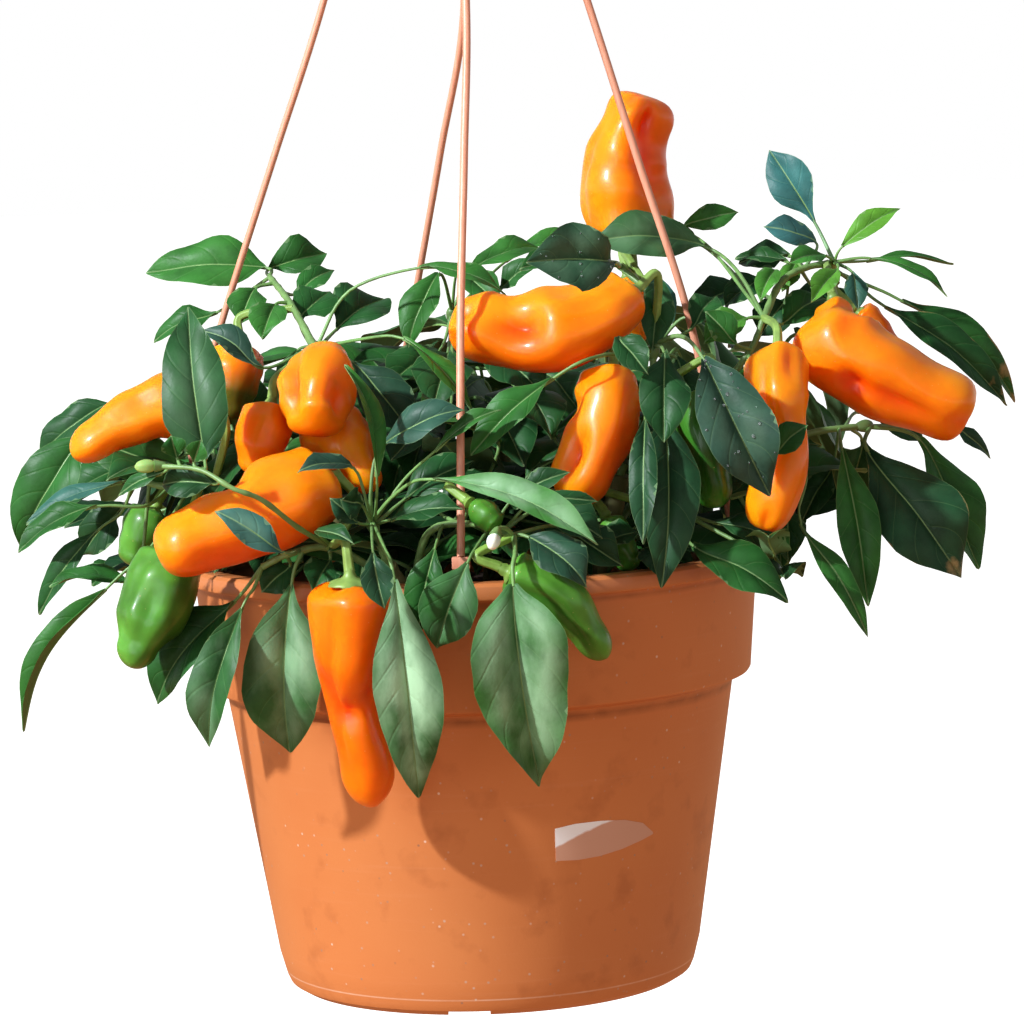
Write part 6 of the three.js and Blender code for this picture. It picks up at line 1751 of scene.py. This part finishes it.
inner = Seeded(9)
stem_spots = {name: spots_along(shoot["lines"]) for name, shoot in shoots.items()}
for attempt in range(INNER["tries"]):
    across = inner.draw(*INNER_WIDE)
    depth = inner.draw(*INNER_DEEP)
    level = inner.draw(INNER["low"], INNER["high"]) * (1 - 0.4 * abs(across + 10) / 110)
    level *= 0.25 if depth > 60 else 1
    base = np.array((across, -depth, level))
    turn = inner.draw(*INNER_LEAF["turn"]) + across * 0.35 + (180 if depth < REAR_DEPTH else 0)
    length = inner.draw(*INNER_LEAF["length"])
    droop = math.radians(inner.draw(*INNER_LEAF["droop"]))
    tip = base + facing(turn) * length * math.cos(droop) - UP * length * math.sin(droop)
    face = (turn if depth < REAR_DEPTH else turn * 0.6, inner.draw(*INNER_LEAF["rise"]))
    leaf = dict(base=base, tip=tip, width=length * inner.draw(*INNER_LEAF["shape"]), face=face)
    leaf["tone"] = inner.draw(*INNER_LEAF["tone"])
    spots = [in_picture(point) for point in (base, (base + tip) / 2, tip)]
    gaps = [gap[:4] for gap in SIGHT_GAPS if depth > gap[4]]
    if any(shows_in(gap, spot) for gap in gaps for spot in spots):
        continue
    if not all(shows_in(BUSH, spot) for spot in spots):
        continue
    roots = {
        name: starts[np.linalg.norm(starts - base, axis=1).argmin()]
        for name, starts in stem_spots.items()
    }
    name = min(roots, key=lambda key: np.linalg.norm(roots[key] - base))
    leaf["origin"] = roots[name]
    if np.linalg.norm(leaf["origin"] - base) > INNER["stalk"]:
        continue
    shape = leaf_line(leaf, 0, 0)
    balls = leaf_balls(leaf, shape)
    if space.room(*balls, f"{name} stem") > INNER["least"]:
        space.claim_all(balls)
        grow_leaf(heaps[name], leaf, shape)

# The water drops
# Drops that cling to two of the leaves after watering, each a low dome of clear water
DROP_RINGS = [(1.0, 0.0), (0.92, 0.3), (0.66, 0.52), (0.32, 0.64)]
water, _, _ = new_finish("water", Roughness=0.0, IOR=1.33, Transmission_Weight=0.9)
heap = Heap()
angles = np.arange(10) / 10 * 2 * math.pi
for spot, rise, radius in dew:
    across = unit(np.cross(rise, (0.3, 0.2, 0.9)))
    circle = np.outer(np.cos(angles), across) + np.outer(np.sin(angles), np.cross(rise, across))
    rings = [spot + circle * radius * reach + rise * radius * lift for reach, lift in DROP_RINGS]
    heap.skin(spot - rise * 0.1, rings, spot + rise * radius * 0.68)
heap.piece("dew_drops", [water], "foliage", (), sharp=80)

for name, heap in heaps.items():
    heap.piece(f"shoot_{name}", leaf_finishes, "foliage", [f"leafy_stem_{name}"], sharp=80)

# The stage
# A pale, out of sight ground far below the hanging pot and a bright hazy sky; a small, strong
# sun lamp stands up on the left, and a large, faint soft box lower beside it.
GROUND = {"level": -0.95, "radius": 30}
SKY = [(0.42, "#c58f66"), (0.485, "#ffffff"), (0.53, "#ffffff"), (0.62, "#909398")]
LAMPS = {
    "sun_lamp": dict(turn=-58, climb=34, distance=2.6, size=0.11, watts=112.0),
    "soft_box": dict(turn=-40, climb=8, distance=2.2, size=1.5, watts=12.0),
}
LAMP_LIGHT = (0.94, 1.0, 1.06)
AIM = np.array((0.0, -0.05, -0.47))

bpy.ops.object.select_all(action="DESELECT")
bpy.ops.mesh.primitive_circle_add(
    vertices=96, radius=GROUND["radius"], fill_type="NGON", location=(0, 0, GROUND["level"])
)
floor = bpy.context.object
floor.name = floor.data.name = "pale_ground"
bpy.ops.object.transform_apply()
paper, _, shader = new_finish("pale_ground_paper", Roughness=0.9, Emission_Strength=0.93)
shader.inputs["Base Color"].default_value = paint("#f2f1ef")
shader.inputs["Emission Color"].default_value = paint("#fffdfa")
floor.data.materials.append(paper)
floor.visible_diffuse = floor.visible_glossy = False

world = bpy.data.worlds.new("hazy_sky")
bpy.context.scene.world = world
world.use_nodes = True
tree = world.node_tree
height = add_node(tree, "TexCoord", out="Generated")
height = add_node(tree, "SeparateXYZ", {0: height}, "Z")
height = add_node(tree, "MapRange", {"Value": height, 1: -1.0, 2: 1.0})
sky_colour = add_node(tree, "ValToRGB", {0: height})
stops = sky_colour.node.color_ramp.elements
for extra in range(len(SKY) - len(stops)):
    stops.new(0.5 + 0.01 * extra)
for stop, (position, hue) in zip(stops, SKY):
    stop.position = position
    stop.color = paint(hue)
tree.links.new(sky_colour, tree.nodes["Background"].inputs["Color"])
tree.nodes["Background"].inputs["Strength"].default_value = 1.0

for name, lamp in LAMPS.items():
    light = bpy.data.lights.new(name, "AREA")
    light.shape = "DISK"
    light.size = lamp["size"]
    light.energy = lamp["watts"]
    light.color = LAMP_LIGHT
    stand = place_object(name, light)
    climb = math.radians(lamp["climb"])
    sight = facing(lamp["turn"]) * math.cos(climb) + UP * math.sin(climb)
    across = unit(np.cross(UP, sight))
    axes = np.stack((across, np.cross(sight, across), sight), axis=1)
    stand.location = AIM + sight * lamp["distance"]
    stand.rotation_mode = "QUATERNION"
    stand.rotation_quaternion = Matrix(axes.tolist()).to_quaternion()

bpy.context.scene.view_settings.view_transform = "Standard"
